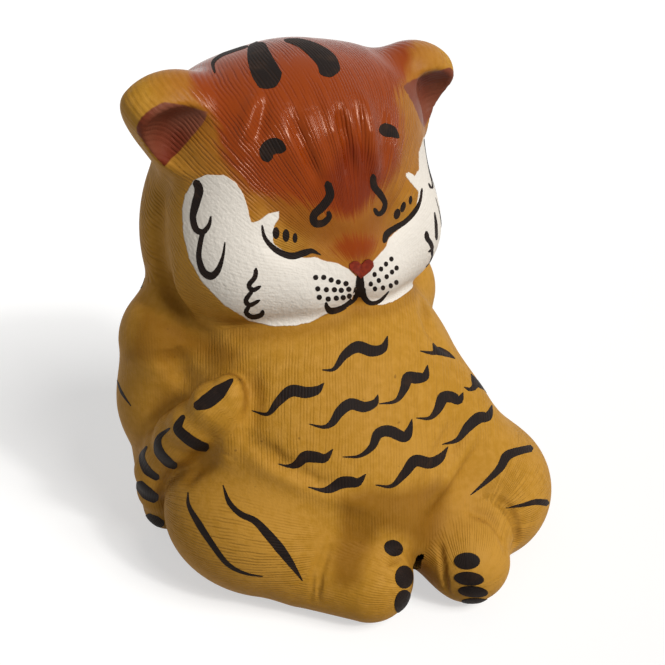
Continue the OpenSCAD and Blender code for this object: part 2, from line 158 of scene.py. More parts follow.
def face_at(p):
    q = on_right(p)
    d = egg(p, (0, 1, 74), (24.6, 20, 20.4))
    d = soft_min(d, egg(q, (-12.5, 1, 79.8), (11.4, 13, 11)), 5)
    d = soft_min(d, egg(q, (-13.6, -5, 60), (12.6, 13.5, 12.7)), 8)
    d = soft_min(d, egg(q, (-5, -14.5, 56.2), (7, 6.6, 6)), 7)
    return soft_min(d, egg(p, (0, -14, 63), (4.5, 6.5, 7)), 7)


def muzzle_at(p):
    return egg(on_right(p), (-5.2, -14.6, 56.2), (7, 6.6, 6))


def ear_at(p):
    q = on_right(p)
    d = egg(q, (-23.6, -1.5, 83.4), (10.3, 7, 8.8))
    edge = (q - np.array([-31.9, 0, 85.0])) @ np.array([-0.864, 0, -0.504])
    d = soft_max(d, edge, 3)
    return soft_max(d, -egg(q, (-25.2, -10.5, 81.5), (8, 8, 6.6)), 1.2)


def arm_at(p):
    q = on_right(p)
    upper = bar(q, (-22.4, 4.5, 41.5), (-22.4, 6.5, 28), 11, 10.2)
    return soft_min(upper, bar(q, (-22.4, 6.5, 28), (-20, 14, 8), 10.2, 9), 6)


def right_thigh_at(p):
    return egg(p, (-18.5, -18, 14), (14.5, 18.5, 14.2), turn=35)


def right_paw_at(p):
    return bar(p, (-14, -28, 9), (-7.4, -37, 8), 8.8, 7.8)


def left_thigh_at(p):
    return egg(p, (25, -27, 10.3), (14, 16.9, 12.9), turn=-38)


def left_paw_at(p):
    return bar(p, (16.8, -34, 9), (10.6, -42, 7.8), 8.4, 7.6)


TAIL_PATH = (
    (-24, 5, 6), (-27, 4.8, 6.4), (-28.8, 2.8, 12), (-30, 0, 18), (-29.2, -3.7, 24), (-29, -8.6, 29.2),
    (-28, -13.3, 34.2), (-26, -16.3, 38.2), (-23.8, -17.5, 40.9),
)
TAIL_RADII = (4.4, 4.6, 4.6, 4.6, 4.6, 4.6, 4.4, 4.0, 2.9)


def tail_at(p):
    return coil(p, TAIL_PATH, TAIL_RADII, 1.5)


def smooth_clay(p):
    """Distance to the whole figure, with the joints between its pieces smoothed over."""
    trunk = soft_min(body_at(p), nape_at(p), 6)
    trunk = soft_min(trunk, arm_at(p), 4)
    right_leg = soft_min(right_thigh_at(p), right_paw_at(p), 3)
    left_leg = soft_min(left_thigh_at(p), left_paw_at(p), 3)
    d = soft_min(soft_min(trunk, right_leg, 4), soft_min(trunk, left_leg, 10), 1)
    d = soft_min(d, tail_at(p), 1.5)
    d = soft_min(d, face_at(p), 2.5)
    d = soft_min(d, ear_at(p), 3)
    return soft_max(d, -p[:, 2], 1)


def slope_of(p, field=None, step=0.12):
    """Outward directions of the field at p."""
    field = field or clay
    g = np.stack([field(p + step * e) - field(p - step * e) for e in np.eye(3)], 1)
    return g / (np.linalg.norm(g, axis=1, keepdims=True) + 1e-9)


def cast(field, starts, ways, first, last):
    """Points where lines first meet the field; a line that misses gives the nearest point to it."""
    t = np.full(len(ways), float(first))
    best = np.full(len(ways), 1e9)
    nearest = t.copy()
    going = np.arange(len(ways))
    for _ in range(90):
        f = field(starts[going] + t[going, None] * ways[going])
        closer = f < best[going]
        nearest[going[closer]] = t[going[closer]]
        best[going[closer]] = f[closer]
        t[going] = t[going] + 0.85 * f
        going = going[(np.abs(f) > 0.004) & (t[going] < last)]
        if len(going) == 0:
            break
    points = starts + nearest[:, None] * ways
    for _ in range(3):
        missed = np.flatnonzero(best > 0.01)
        if len(missed) == 0:
            break
        points[missed] -= field(points[missed])[:, None] * slope_of(points[missed], field)
    return points


def cast_pixels(field, pixels):
    starts, ways = sight_lines(pixels)
    return cast(field, starts, ways, 110, 300)


# Creases and ridges pressed into the clay: pixels of the photograph, width and depth in
# millimetres, with a negative depth for a ridge
CREASES = (
    # Forehead furrows and the ridges between them
    (((257, 96), (250, 118), (243, 140)), 2.2, -0.8),
    (((265, 98), (261, 118), (256, 140)), 2.0, 0.6),
    (((276, 108), (287, 138), (301, 170)), 3.0, -0.7),
    (((291, 116), (304, 148), (316, 178)), 1.8, 0.8),
    (((307, 110), (319, 146), (329, 178)), 2.4, -0.6),
    (((326, 102), (334, 132), (343, 168)), 2.0, -0.9),
    (((338, 112), (346, 142), (352, 176)), 2.0, 1.2),
    (((346, 104), (353, 132), (360, 164)), 1.8, -0.6),
    (((355, 104), (362, 138), (367, 172)), 1.8, 0.6),
    (((364, 98), (370, 132), (375, 172)), 2.0, -0.9),
    (((382, 112), (386, 140), (384, 166)), 2.2, 0.45),
    # Fold behind the cheek and the roll of the ruff under it
    (((166, 172), (160, 200), (158, 240), (162, 272), (174, 300), (194, 326)), 3.0, 0.8),
    (((176, 266), (184, 292), (202, 316), (230, 335)), 3.4, -1.1),
    (((140, 294), (160, 315), (186, 334), (214, 345)), 3.2, 0.6),
    # Armpits
    (((172, 348), (177, 372), (182, 404)), 4.2, 1.5),
    (((423, 300), (425, 316), (430, 330), (438, 341), (448, 350)), 2.2, 1.3),
    # Fold of the flank and the crest of the right thigh
    (((237, 390), (232, 420), (225, 452)), 3.6, -1.8),
    (((252, 372), (255, 400), (252, 428)), 2.8, 0.7),
    (((258, 464), (300, 481), (345, 498), (374, 508)), 2.8, -0.8),
    (((250, 440), (280, 463), (314, 483), (350, 495)), 2.6, 1.0),
    (((186, 482), (200, 468), (216, 458)), 2.4, 0.6),
    # Short creases in the belly's lower edge
    (((270, 448), (282, 462)), 1.4, 0.5),
    (((309, 476), (322, 486)), 1.2, 0.4),
    (((452, 424), (442, 442), (434, 456)), 1.6, 0.5),
    # Ridge of the left hip
    (((476, 430), (454, 464), (426, 506)), 2.2, -1.2),
    (((464, 424), (440, 458), (416, 496)), 3.0, 0.6),
    # Folds of the left knee
    (((497, 500), (508, 507), (516, 523), (517, 542), (511, 558)), 1.6, 1.0),
    (((472, 513), (489, 518), (500, 532), (505, 550)), 1.8, 0.8),
    # Soles, toes and ankles
    (((440, 546), (443, 567), (449, 594)), 0.9, 0.6),
    (((384, 565), (392, 561), (402, 555)), 1.1, 0.5),
    (((318, 602), (321, 574), (330, 546)), 0.9, 0.4),
    (((311, 602), (314, 574), (322, 548)), 0.9, 0.3),
    # Eyelids
    (((266, 238), (276, 250), (291, 256), (306, 252)), 2.4, 0.45),
    (((418, 204), (411, 216), (399, 226), (388, 233)), 2.2, 0.45),
)


def crease_lines():
    """The creases as lines of points on the smooth clay."""
    lines = []
    for pixels, width, depth in CREASES:
        lines.append((cast_pixels(smooth_clay, pixels), width, depth))
    return lines


CREASE_LINES = crease_lines()


def clay(p):
    """Distance to the figure with its creases."""
    d = smooth_clay(p)
    for line, width, depth in CREASE_LINES:
        reach = 2.2 * width
        near = np.all((p > line.min(0) - reach) & (p < line.max(0) + reach), axis=1)
        near &= np.abs(d) < reach
        if not near.any():
            continue
        q = p[near]
        away = np.full(len(q), 1e9)
        share = np.zeros(len(q))
        for i in range(len(line) - 1):
            a, b = line[i], line[i + 1]
            t = np.clip((q - a) @ (b - a) / ((b - a) @ (b - a)), 0, 1)
            reach_ab = np.linalg.norm(q - a - t[:, None] * (b - a), axis=1)
            closer = reach_ab < away
            away[closer] = reach_ab[closer]
            share[closer] = (i + t[closer]) / (len(line) - 1)
        taper = np.sqrt(np.clip(3.4 * np.minimum(share + 0.03, 1.03 - share), 0, 1))
        d[near] += depth * taper * np.exp(-((away / (0.6 * width)) ** 2))
    return d


# The figure's whole surface is drawn once on a grid, and the pieces share it
GRID_LOW = np.array([-40.0, -54.0, -3.0])
GRID_HIGH = np.array([44.0, 31.0, 99.0])
COARSE = 4


def grid_values(step):
    """Field values on a grid, found exactly only near the surface."""
    count = np.ceil((GRID_HIGH - GRID_LOW) / (step * COARSE)).astype(int) + 1
    axes = [GRID_LOW[i] + step * COARSE * np.arange(count[i]) for i in range(3)]
    coarse = smooth_clay(np.stack(np.meshgrid(*axes, indexing="ij"), -1).reshape(-1, 3)).reshape(count)
    near = np.abs(coarse) < 1.9 * step * COARSE + 2
    fine = np.repeat(np.repeat(np.repeat(coarse, COARSE, 0), COARSE, 1), COARSE, 2)
    near = np.repeat(np.repeat(np.repeat(near, COARSE, 0), COARSE, 1), COARSE, 2)
    places = np.argwhere(near)
    fine[near] = clay(GRID_LOW + step * places)
    return fine


def surface_net(values, step):
    """Points and four-sided faces of the surface where values change sign."""
    inside = values < 0
    cells = np.array(values.shape)
    total = np.zeros((values.size, 3))
    hits = np.zeros(values.size)
    quads = []
    stride = np.array([cells[1] * cells[2], cells[2], 1])
    for axis in range(3):
        u, v = (axis + 1) % 3, (axis + 2) % 3
        low = [slice(None)] * 3
        high = [slice(None)] * 3
        low[axis], high[axis] = slice(0, -1), slice(1, None)
        at = np.argwhere(inside[tuple(low)] != inside[tuple(high)])
        flat = at @ stride
        a = values.ravel()[flat]
        b = values.ravel()[flat + stride[axis]]
        place = at.astype(float)
        place[:, axis] += a / (a - b)
        corners = [flat - stride[u] - stride[v], flat - stride[v], flat, flat - stride[u]]
        for corner in corners:
            for k in range(3):
                total[:, k] += np.bincount(corner, place[:, k], values.size)
            hits += np.bincount(corner, minlength=values.size)
        quad = np.stack(corners, 1)
        leaving = inside.ravel()[flat]
        quad[~leaving] = quad[~leaving][:, ::-1]
        quads.append(quad)
    used = np.flatnonzero(hits)
    number = np.full(values.size, -1)
    number[used] = np.arange(len(used))
    points = GRID_LOW + step * total[used] / hits[used, None]
    return points, number[np.concatenate(quads)]


def relaxed(points, quads, rounds=3):
    """Points spread evenly over the clay's surface and brought exactly onto it."""
    a = quads.ravel()
    b = np.roll(quads, -1, axis=1).ravel()
    degree = np.bincount(a, minlength=len(points)) + np.bincount(b, minlength=len(points))
    for _ in range(rounds):
        mean = np.stack([
            np.bincount(a, points[b, k], len(points)) + np.bincount(b, points[a, k], len(points))
            for k in range(3)
        ], 1) / degree[:, None]
        n = slope_of(points)
        move = mean - points
        points = points + 0.6 * (move - np.sum(move * n, 1)[:, None] * n)
        for _ in range(2):
            n = slope_of(points)
            points = points - clay(points)[:, None] * n
    return points


# Pieces of the figure in the order of their labels
LABELS = (
    "body_front", "body_back", "head_front", "head_back", "right_ear", "left_ear", "right_arm", "left_arm",
    "right_thigh", "left_thigh", "right_paw", "left_paw", "tail", "right_muzzle", "left_muzzle", "base",
)
BASE_RADIUS = 15.2
HEAD_SPLIT = 2.0


def labels_at(p):
    """Index in LABELS of the piece that each point of the surface belongs to."""
    left = p[:, 0] > 0
    far = np.full(len(p), 1e3)
    body, arm, ear = body_at(p), arm_at(p), ear_at(p)
    head = np.minimum(face_at(p), nape_at(p))
    muzzle = np.where((p[:, 1] < -12) & (p[:, 2] < 62), muzzle_at(p) - 0.5, far)
    table = np.stack([
        np.where(p[:, 1] < 0, body, far), np.where(p[:, 1] < 0, far, body),
        np.where(p[:, 1] < HEAD_SPLIT, head, far), np.where(p[:, 1] < HEAD_SPLIT, far, head),
        np.where(left, far, ear), np.where(left, ear, far), np.where(left, far, arm), np.where(left, arm, far),
        right_thigh_at(p), left_thigh_at(p), right_paw_at(p), left_paw_at(p), tail_at(p),
        np.where(left, far, muzzle), np.where(left, muzzle, far),
    ], 1)
    label = np.argmin(table, 1)
    under = (p[:, 2] < 0.4) & (np.hypot(p[:, 0], p[:, 1]) < BASE_RADIUS)
    label[under] = LABELS.index("base")
    return label


def without_islands(label, quads):
    """Labels of faces with small stray patches given to the piece around them."""
    edges = np.sort(np.stack([quads.ravel(), np.roll(quads, -1, axis=1).ravel()], 1), 1)
    owner = np.repeat(np.arange(len(quads)), 4)
    order = np.lexsort((edges[:, 1], edges[:, 0]))
    edges, owner = edges[order], owner[order]
    same = np.all(edges[:-1] == edges[1:], axis=1)
    a, b = owner[:-1][same], owner[1:][same]
    for _ in range(3):
        patch = np.arange(len(quads))
        joined = label[a] == label[b]
        while True:
            low = np.minimum(patch[a[joined]], patch[b[joined]])
            new = patch.copy()
            np.minimum.at(new, a[joined], low)
            np.minimum.at(new, b[joined], low)
            new = new[new]
            if np.array_equal(new, patch):
                break
            patch = new
        size = np.bincount(patch, minlength=len(quads))
        largest = np.zeros(len(LABELS))
        np.maximum.at(largest, label, size[patch])
        stray = size[patch] < 0.3 * largest[label]
        if not stray.any():
            break
        give = stray[a] & ~stray[b]
        label[a[give]] = label[b[give]]
        give = stray[b] & ~stray[a]
        label[b[give]] = label[a[give]]
    return label


FIGURE = {}


def figure():
    """The whole figure's points, outward directions, faces and the label of each face."""
    if not FIGURE:
        step = bpy.context.scene.tea_pet_clay.grid_step / MM
        points, quads = surface_net(grid_values(step), step)
        points = relaxed(points, quads)
        rim = np.hypot(points[:, 0], points[:, 1])
        snap = (points[:, 2] < 0.3) & (np.abs(rim - BASE_RADIUS) < 0.6 * step)
        points[snap, :2] *= (BASE_RADIUS / rim[snap])[:, None]
        label = labels_at(points[quads].mean(1))
        FIGURE.update(points=points, normals=slope_of(points), quads=quads, label=without_islands(label, quads))
    return FIGURE


# Hair lines combed into the clay: lines counted across, and a distance along them in millimetres
def around(p, middle, axis, radius, spacing):
    """Lines counted round an axis, the distance along it, and the count of a full turn."""
    axis = np.array(axis, float) / np.linalg.norm(axis)
    side = np.cross([0.0, 0.0, 1.0], axis)
    side = side / np.linalg.norm(side)
    top = np.cross(axis, side)
    q = p - np.array(middle, float)
    count = round(2 * math.pi * radius / spacing)
    return count * np.arctan2(q @ top, q @ side) / (2 * math.pi), q @ axis, count


COMB_STRENGTH = {
    "body_front": 0.7, "body_back": 0.7, "head_front": 1.0, "head_back": 1.0, "right_ear": 0.6, "left_ear": 0.6,
    "right_arm": 0.22, "left_arm": 0.22, "right_thigh": 1.2, "left_thigh": 1.2, "right_paw": 0.9,
    "left_paw": 0.9, "tail": 0.6, "right_muzzle": 0.6, "left_muzzle": 0.6, "base": 0.0,
}


# Line through the head on which the combing of the face and ruff converges, at the nose
FACE_MIDDLE = np.array([0.0, 2.0, 72.0])
FACE_AXIS = np.array([0.0, -0.867, -0.498])


# Where the comb is lifted round the nose and presses harder in the ruff: start and run in millimetres
NOSE_BARE, NOSE_RUN = 4, 9
RUFF_START, RUFF_RUN = 16, 8
RUFF_FRONT, RUFF_FRONT_RUN = -8, 6
LEG_JOIN_RUN = 4


def comb_bite(name, p):
    """How deep the comb bit at each point: deeper in the ruff, lifted near the nose and where pieces join."""
    bite = np.full(len(p), COMB_STRENGTH[name])
    if "head" in name or "muzzle" in name:
        away = p - FACE_MIDDLE
        away = np.linalg.norm(away - (away @ FACE_AXIS)[:, None] * FACE_AXIS, axis=1)
        ruff = np.clip((away - RUFF_START) / RUFF_RUN, 0, 1)
        ruff = ruff * np.clip((p[:, 1] - RUFF_FRONT) / RUFF_FRONT_RUN, 0, 1)
        bite = bite * np.clip((away - NOSE_BARE) / NOSE_RUN, 0.1, 1) * (1 + ruff)
    if name in ("body_front", "right_thigh", "left_thigh"):
        legs = np.minimum(right_thigh_at(p), left_thigh_at(p))
        bite = bite * np.clip(np.abs(body_at(p) - legs) / LEG_JOIN_RUN, 0.05, 1)
    return bite


# Pieces that the comb went round: a point and the direction of the line it turns on, and the radius there
COMB_TURNS = {
    "body_back": ((0, -2, 30), (0.02, 0.0, 1.0), 24),
    "right_thigh": ((-18.5, -18, 14), (0.57, -0.82, 0.05), 13),
    "left_thigh": ((25, -26.5, 12.4), (-0.62, -0.78, 0.05), 13),
    "right_paw": ((-14, -28, 9.3), (0.65, -0.76, -0.1), 9),
    "left_paw": ((17, -34, 9.3), (-0.62, -0.78, -0.1), 9),
}
COMB_TURNS.update(dict.fromkeys(
    ("head_front", "head_back", "right_muzzle", "left_muzzle", "right_ear", "left_ear"),
    (FACE_MIDDLE, FACE_AXIS, 20)))
# Radius of the tail and the distance between points of its path, for its combing
TAIL_RADIUS, TAIL_PACE = 4.6, 5.0


def combing(name, p, spacing):
    """Lines counted across, distance along and lines in a full turn of a piece's combing."""
    if name in COMB_TURNS:
        return around(p, *COMB_TURNS[name], spacing)
    if name == "tail":
        path = np.array(TAIL_PATH, float)
        near = np.argmin(np.linalg.norm(p[:, None] - path[None], axis=2), 1)
        ahead = np.gradient(path, axis=0)[near]
        ahead /= np.linalg.norm(ahead, axis=1, keepdims=True)
        out = path[near] * np.array([1.0, 1.0, 0.0])
        side = np.cross(ahead, out)
        side /= np.linalg.norm(side, axis=1, keepdims=True)
        q = p - path[near]
        turn = np.arctan2(np.sum(q * side, 1), np.sum(q * np.cross(ahead, side), 1))
        count = round(2 * math.pi * TAIL_RADIUS / spacing)
        return count * turn / (2 * math.pi), TAIL_PACE * near + np.sum(q * ahead, 1), count
    return (p @ RIGHTWARD) / spacing, p[:, 2], 0


# Edges of the painted fields, in pixels of the photograph
RIGHT_MASK = (
    (194, 180), (205, 175), (224, 175), (235, 182), (244, 195), (248, 210), (251, 223), (259, 221), (267, 214),
    (279, 211), (279, 219), (274, 225), (273, 244), (288, 254), (304, 258), (317, 257), (324, 261), (337, 263),
    (348, 269), (357, 277), (360, 290), (355, 301), (340, 309), (326, 314), (311, 322), (293, 326), (272, 326),
    (250, 321), (224, 305), (202, 282), (189, 258), (183, 232), (182, 210), (185, 195),
)
LEFT_MASK = (
    (424, 136), (419, 151), (419, 169), (415, 176), (409, 172), (404, 174), (411, 183), (419, 192), (416, 208),
    (408, 221), (389, 238), (386, 247), (378, 256), (369, 266), (361, 277), (360, 290), (367, 302), (380, 305),
    (395, 304), (413, 297), (424, 286), (440, 268), (452, 243), (452, 200), (440, 160), (432, 138),
)
RIGHT_EAR_INSIDE = (
    (127, 116), (134, 105), (150, 100), (180, 104), (209, 112), (203, 124), (183, 148), (164, 167), (152, 154),
    (136, 132),
)
RUST_FOREHEAD = (
    (188, 20), (186, 76), (192, 96), (206, 112), (212, 126), (212, 140), (218, 160), (232, 180), (247, 196),
    (278, 202), (300, 208), (320, 216), (340, 223), (356, 223), (368, 212), (380, 198), (393, 184), (403, 165),
    (408, 140), (407, 118), (402, 100), (404, 90), (412, 78), (416, 40), (418, 20),
)
RUST_BRIDGE = (
    (328, 246), (334, 236), (346, 231), (362, 231), (376, 235), (381, 243), (377, 253), (369, 262), (354, 266),
    (341, 262), (332, 255),
)
# Soft patches: ochre darkened around the eyes, painted shade on the shoulder and between the shins, and the
# deep middle of the forehead
BROWNED_FACE = (
    (236, 168), (262, 176), (300, 186), (330, 205), (350, 210), (372, 200), (392, 180), (404, 190), (404, 206),
    (396, 224), (388, 238), (380, 246), (370, 250), (345, 250), (326, 252), (300, 250), (284, 240), (268, 220),
    (252, 200),
)
SHADED_SHOULDER_PATCH = (
    (140, 292), (165, 306), (200, 322), (240, 340), (255, 352), (240, 372), (215, 380), (195, 366), (170, 372),
    (140, 372), (116, 365), (126, 320),
)
SHADED_SHINS_PATCH = (
    (330, 490), (365, 478), (400, 480), (440, 470), (462, 480), (455, 510), (448, 545), (430, 560), (415, 552),
    (400, 545), (385, 540), (375, 560), (368, 590), (345, 600), (325, 590), (322, 560), (330, 530),
)
DEEP_BROW = (
    (312, 176), (330, 150), (345, 128), (362, 132), (385, 150), (394, 178), (384, 204), (366, 222), (346, 228),
    (326, 214),
)
# How far back the rust slip reaches on the crown, in millimetres
RUST_BACK = 14.0
LEFT_EAR_INSIDE = (
    (400, 89), (406, 83.5), (414, 79), (430, 73), (456, 65), (456, 80), (444, 102), (430, 118), (424, 128),
    (417, 117), (410, 106), (402, 95),
)


def field_edge(pixels, outline):
    """Signed distance in pixels to a closed outline, positive inside it."""
    corner = np.array(outline, float)
    after = np.roll(corner, -1, axis=0)
    best = np.full(len(pixels), 1e9)
    inside = np.zeros(len(pixels), bool)
    for a, b in zip(corner, after):
        t = np.clip((pixels - a) @ (b - a) / ((b - a) @ (b - a)), 0, 1)
        best = np.minimum(best, np.linalg.norm(pixels - a - t[:, None] * (b - a), axis=1))
        between = (a[1] > pixels[:, 1]) != (b[1] > pixels[:, 1])
        slant = (b[0] - a[0]) * (pixels[:, 1] - a[1]) / (b[1] - a[1] + 1e-9) + a[0]
        inside ^= between & (pixels[:, 0] < slant)
    return np.where(inside, best, -best)


# Size of a pixel on the object in millimetres
PIXEL = 0.17
# How far back the white slip and the rust of the nose's bridge reach, and how far over the cheek's rim
WHITE_BACK, BRIDGE_BACK = 8, -10
CHEEK_RIM, RIM_SHARPNESS = 1.2, 3
# Limits of the distances kept for the small fields and for the rust
NEAR_LIMIT, RUST_LIMIT = 9, 20
# The cup inside an ear: how far its slip reaches out of it, and further on the head's side
EAR_CUP, EAR_CUP_SIZE = (-25.2, -10.5, 81.5), (8, 8, 6.6)
EAR_RIM, EAR_RIM_INNER = 1.4, 2.1
EAR_HEAD_SIDE, EAR_SIDE_RUN = 24.5, 3


def white_edge(p, normals):
    """Distance in millimetres into the white slip of the cheeks, negative outside it."""
    front = np.sum(normals * (EYE - p), 1) > 0
    mirrored = field_edge(seen_at(on_right(p)), RIGHT_MASK)
    near = field_edge(seen_at(p), LEFT_MASK)
    edge = np.where((p[:, 0] > 0) & front, near, mirrored)
    edge = np.where((p[:, 0] > 0) & ~front, mirrored, edge)
    edge = np.minimum(PIXEL * edge, WHITE_BACK - p[:, 1])
    return np.clip(np.minimum(edge, RIM_SHARPNESS * (CHEEK_RIM - face_at(p))), -NEAR_LIMIT, NEAR_LIMIT)


def ear_edge(p, normals):
    """Distance in millimetres into the red slip inside the ears."""
    right = field_edge(seen_at(p), RIGHT_EAR_INSIDE)
    left = field_edge(seen_at(p), LEFT_EAR_INSIDE)
    side = np.clip((EAR_HEAD_SIDE - np.abs(p[:, 0])) / EAR_SIDE_RUN, 0, 1)
    hollow = EAR_RIM + EAR_RIM_INNER * side - egg(on_right(p), EAR_CUP, EAR_CUP_SIZE)
    edge = PIXEL * np.where(p[:, 0] < 0, right, left)
    return np.minimum(np.clip(edge, -NEAR_LIMIT, NEAR_LIMIT), hollow) - 30 * (normals[:, 1] > 0.6)


def rust_edge(p, normals):
    """Distance in millimetres into the rust slip of the forehead and of the nose's bridge."""
    pixels = seen_at(p)
    front = np.sum(normals * (EYE - p), 1) > 0
    brow = field_edge(pixels, RUST_FOREHEAD)
    hidden = np.minimum(brow, field_edge(seen_at(on_right(p)), RUST_FOREHEAD))
    brow = np.minimum(PIXEL * np.where(front, brow, hidden), RUST_BACK - p[:, 1])
    bridge = np.minimum(PIXEL * field_edge(pixels, RUST_BRIDGE), BRIDGE_BACK - p[:, 1])
    return np.clip(np.maximum(brow, bridge), -RUST_LIMIT, RUST_LIMIT)


def patch_depth(p, normals, outlines):
    """Distance in millimetres into soft patches on the side that is seen, and 0 outside them."""
    front = np.sum(normals * (EYE - p), 1) > 0
    depth = np.max([field_edge(seen_at(p), outline) for outline in outlines], axis=0)
    return np.where(front, np.maximum(PIXEL * depth, 0), 0)


# Distances in millimetres at which the clay around a point is felt for
HOLLOW_REACHES = (2.0, 5.0, 9.0)


# How closed in a point is sets painted shade, with some stain, in the ochre's hollows
def hollow_depth(p, normals):
    """How far the clay around a point closes it in, from 0 in the open to 1."""
    shut = np.zeros(len(p))
    for reach in HOLLOW_REACHES:
        shut += np.clip(1 - clay(p + reach * normals) / reach, 0, 1)
    return shut / len(HOLLOW_REACHES)


# Painting with slip
def hex_colour(text):
    """Linear colour of an sRGB hex value."""
    parts = [int(text[i:i + 2], 16) / 255 for i in (1, 3, 5)]
    return [c / 12.92 if c <= 0.04045 else ((c + 0.055) / 1.055) ** 2.4 for c in parts] + [1.0]


def add_node(tree, kind, inputs=None, out=0, **settings):
    """An output of a new node with its settings; each input is a value or another node's output."""
    node = tree.nodes.new(kind)
    for key, value in settings.items():
        setattr(node, key, value)
    for key, value in (inputs or {}).items():
        if isinstance(value, bpy.types.NodeSocket):
            tree.links.new(value, node.inputs[key])
        else:
            node.inputs[key].default_value = value
    return node.outputs[out] if node.outputs else None


def new_material(name):
    material = bpy.data.materials.get(name) or bpy.data.materials.new(name)
    material.use_nodes = True
    tree = material.node_tree
    tree.nodes.clear()
    return material, tree


# Sizes of the patterns in the clay and slip, in millimetres
CLOUD_SIZE = 18.0
COMB_PATCH_SIZE = 11.0
COMB_WANDER_SIZE = 13.0
HAIR_LENGTH = 7.0
GRAIN_SIZE = 0.45
SPECK_SIZE = 1.5
MOTTLE_SIZE = 1.3
BRUSH_SIZE = 0.8
RAGGED_SIZE = 1.1
THIN_SLIP_SIZE = 2.4
GRIT_SIZE = 0.6
BARE_CLOUD_SIZE = 7.0
PAPER_CLOUD_SIZE = 25.0
# How far combed lines wander sideways, in lines, and how far the edge of a painted field strays
COMB_WANDER = 3.0
RAGGED_DEPTH = 0.3
STREAK_DEPTH = 3.0
SOFT_PATCH_EDGE = 3.4
SLIP_EDGE = 0.1
EAR_SLIP_EDGE = 0.2
# How far the rust slip's edge is soft, and how far its thin wash runs out and in, in millimetres
RUST_SOFT = 2.2
WASH_OUT, WASH_IN = 10.0, 1.0
# Share of a deeper colour in combed lines, in hollows (painted shade with stain), in specks and in soft patches
OCHRE_LINES, RUST_LINES, WHITE_LINES, BLACK_LINES = 0.15, 0.25, 0.8, 0.3
HOLLOW_SHADE_AND_STAIN, SPECK_STAIN, GRIT_STAIN = 0.5, 0.4, 0.5
WASH_SHARE, BROWNED_AND_SHADED_SHARE, DEEP_BROW_SHARE, THIN_BLACK_SHARE = 0.5, 0.65, 0.5, 0.6
# Specular level and roughness of each fired slip and of the bare clay
OCHRE_GLOSS, RUST_GLOSS, BLACK_GLOSS, RED_GLOSS, BARE_GLOSS = 0.07, 0.21, 0.08, 0.2, 0.3
OCHRE_ROUGH, RUST_ROUGH, BLACK_ROUGH, RED_ROUGH, BARE_ROUGH = 0.55, 0.2, 0.6, 0.4, 0.8
WHITE_ROUGHER = 0.2
# Share of the comb's depth that is left in each slip, and the clay's fine tooth and brush marks beside it
OCHRE_CUT, RUST_CUT, WHITE_CUT, BLACK_CUT = 0.55, 0.6, 0.15, 0.6
CLAY_TOOTH, RUST_TOOTH = 0.5, 0.05
BRUSH_MARKS = 1.3
# Depth of the grain on the nose and on the bare clay, in millimetres
NOSE_GRAIN, BARE_GRAIN = 0.06, 0.2


def per_metre(size):
    """Scale of a pattern of a size in millimetres."""
    return 1 / (size * MM)


def combed(tree, place):
    """Depth of the combed lines, from 0 to 1, and a value of each line that strays along it."""
    across = add_node(tree, "ShaderNodeAttribute", out="Fac", attribute_name="comb_across")
    along = add_node(tree, "ShaderNodeAttribute", out="Fac", attribute_name="comb_along")
    strength = add_node(tree, "ShaderNodeAttribute", out="Fac", attribute_name="comb_depth")
    wander = add_node(
        tree, "ShaderNodeTexNoise", {"Vector": place, "Scale": per_metre(COMB_WANDER_SIZE), "Detail": 4.0})
    line = add_node(tree, "ShaderNodeMath", {0: wander, 1: COMB_WANDER, 2: across}, operation="MULTIPLY_ADD")
    angle = add_node(tree, "ShaderNodeMath", {0: line, 1: 2 * math.pi}, operation="MULTIPLY")
    wave = add_node(tree, "ShaderNodeMath", {0: angle}, operation="SINE")
    groove = add_node(
        tree, "ShaderNodeMapRange", {"Value": wave, "From Min": -0.6, "From Max": 1.0},
        interpolation_type="SMOOTHSTEP")
    shifted = add_node(tree, "ShaderNodeMath", {0: line, 1: 0.25}, operation="ADD")
    number = add_node(tree, "ShaderNodeMath", {0: shifted}, operation="FLOOR")
    apart = add_node(tree, "ShaderNodeMath", {0: number, 1: 5.3}, operation="MULTIPLY")
    way = add_node(tree, "ShaderNodeMath", {0: along, 1: HAIR_LENGTH}, operation="DIVIDE")
    hair = add_node(tree, "ShaderNodeCombineXYZ", {"X": apart, "Y": way})
    stray = add_node(tree, "ShaderNodeTexNoise", {"Vector": hair, "Scale": 1.0, "Detail": 1.0})
    length = add_node(
        tree, "ShaderNodeMapRange", {"Value": stray, "From Min": 0.3, "From Max": 0.55},
        interpolation_type="SMOOTHSTEP")
    bite = add_node(
        tree, "ShaderNodeTexNoise", {"Vector": place, "Scale": per_metre(COMB_PATCH_SIZE), "Detail": 1.0})
    patch = add_node(
        tree, "ShaderNodeMapRange", {"Value": bite, "From Min": 0.24, "From Max": 0.52},
        interpolation_type="SMOOTHSTEP")
    depth = add_node(tree, "ShaderNodeMath", {0: groove, 1: length}, operation="MULTIPLY")
    depth = add_node(tree, "ShaderNodeMath", {0: depth, 1: patch}, operation="MULTIPLY")
    depth = add_node(tree, "ShaderNodeMath", {0: depth, 1: strength}, operation="MULTIPLY")
    return depth, stray


def tooled(tree, place, grooves, depth, tooth_share):
    """Surface directions of combed clay with its fine tooth."""
    grain = add_node(
        tree, "ShaderNodeTexNoise", {"Vector": place, "Scale": per_metre(GRAIN_SIZE), "Detail": 2.0})
    tooth = add_node(tree, "ShaderNodeMath", {0: grain, 1: tooth_share}, operation="MULTIPLY")
    height = add_node(tree, "ShaderNodeMath", {0: tooth, 1: grooves}, operation="SUBTRACT")
    return add_node(tree, "ShaderNodeBump", {"Strength": 1.0, "Distance": depth, "Height": height})


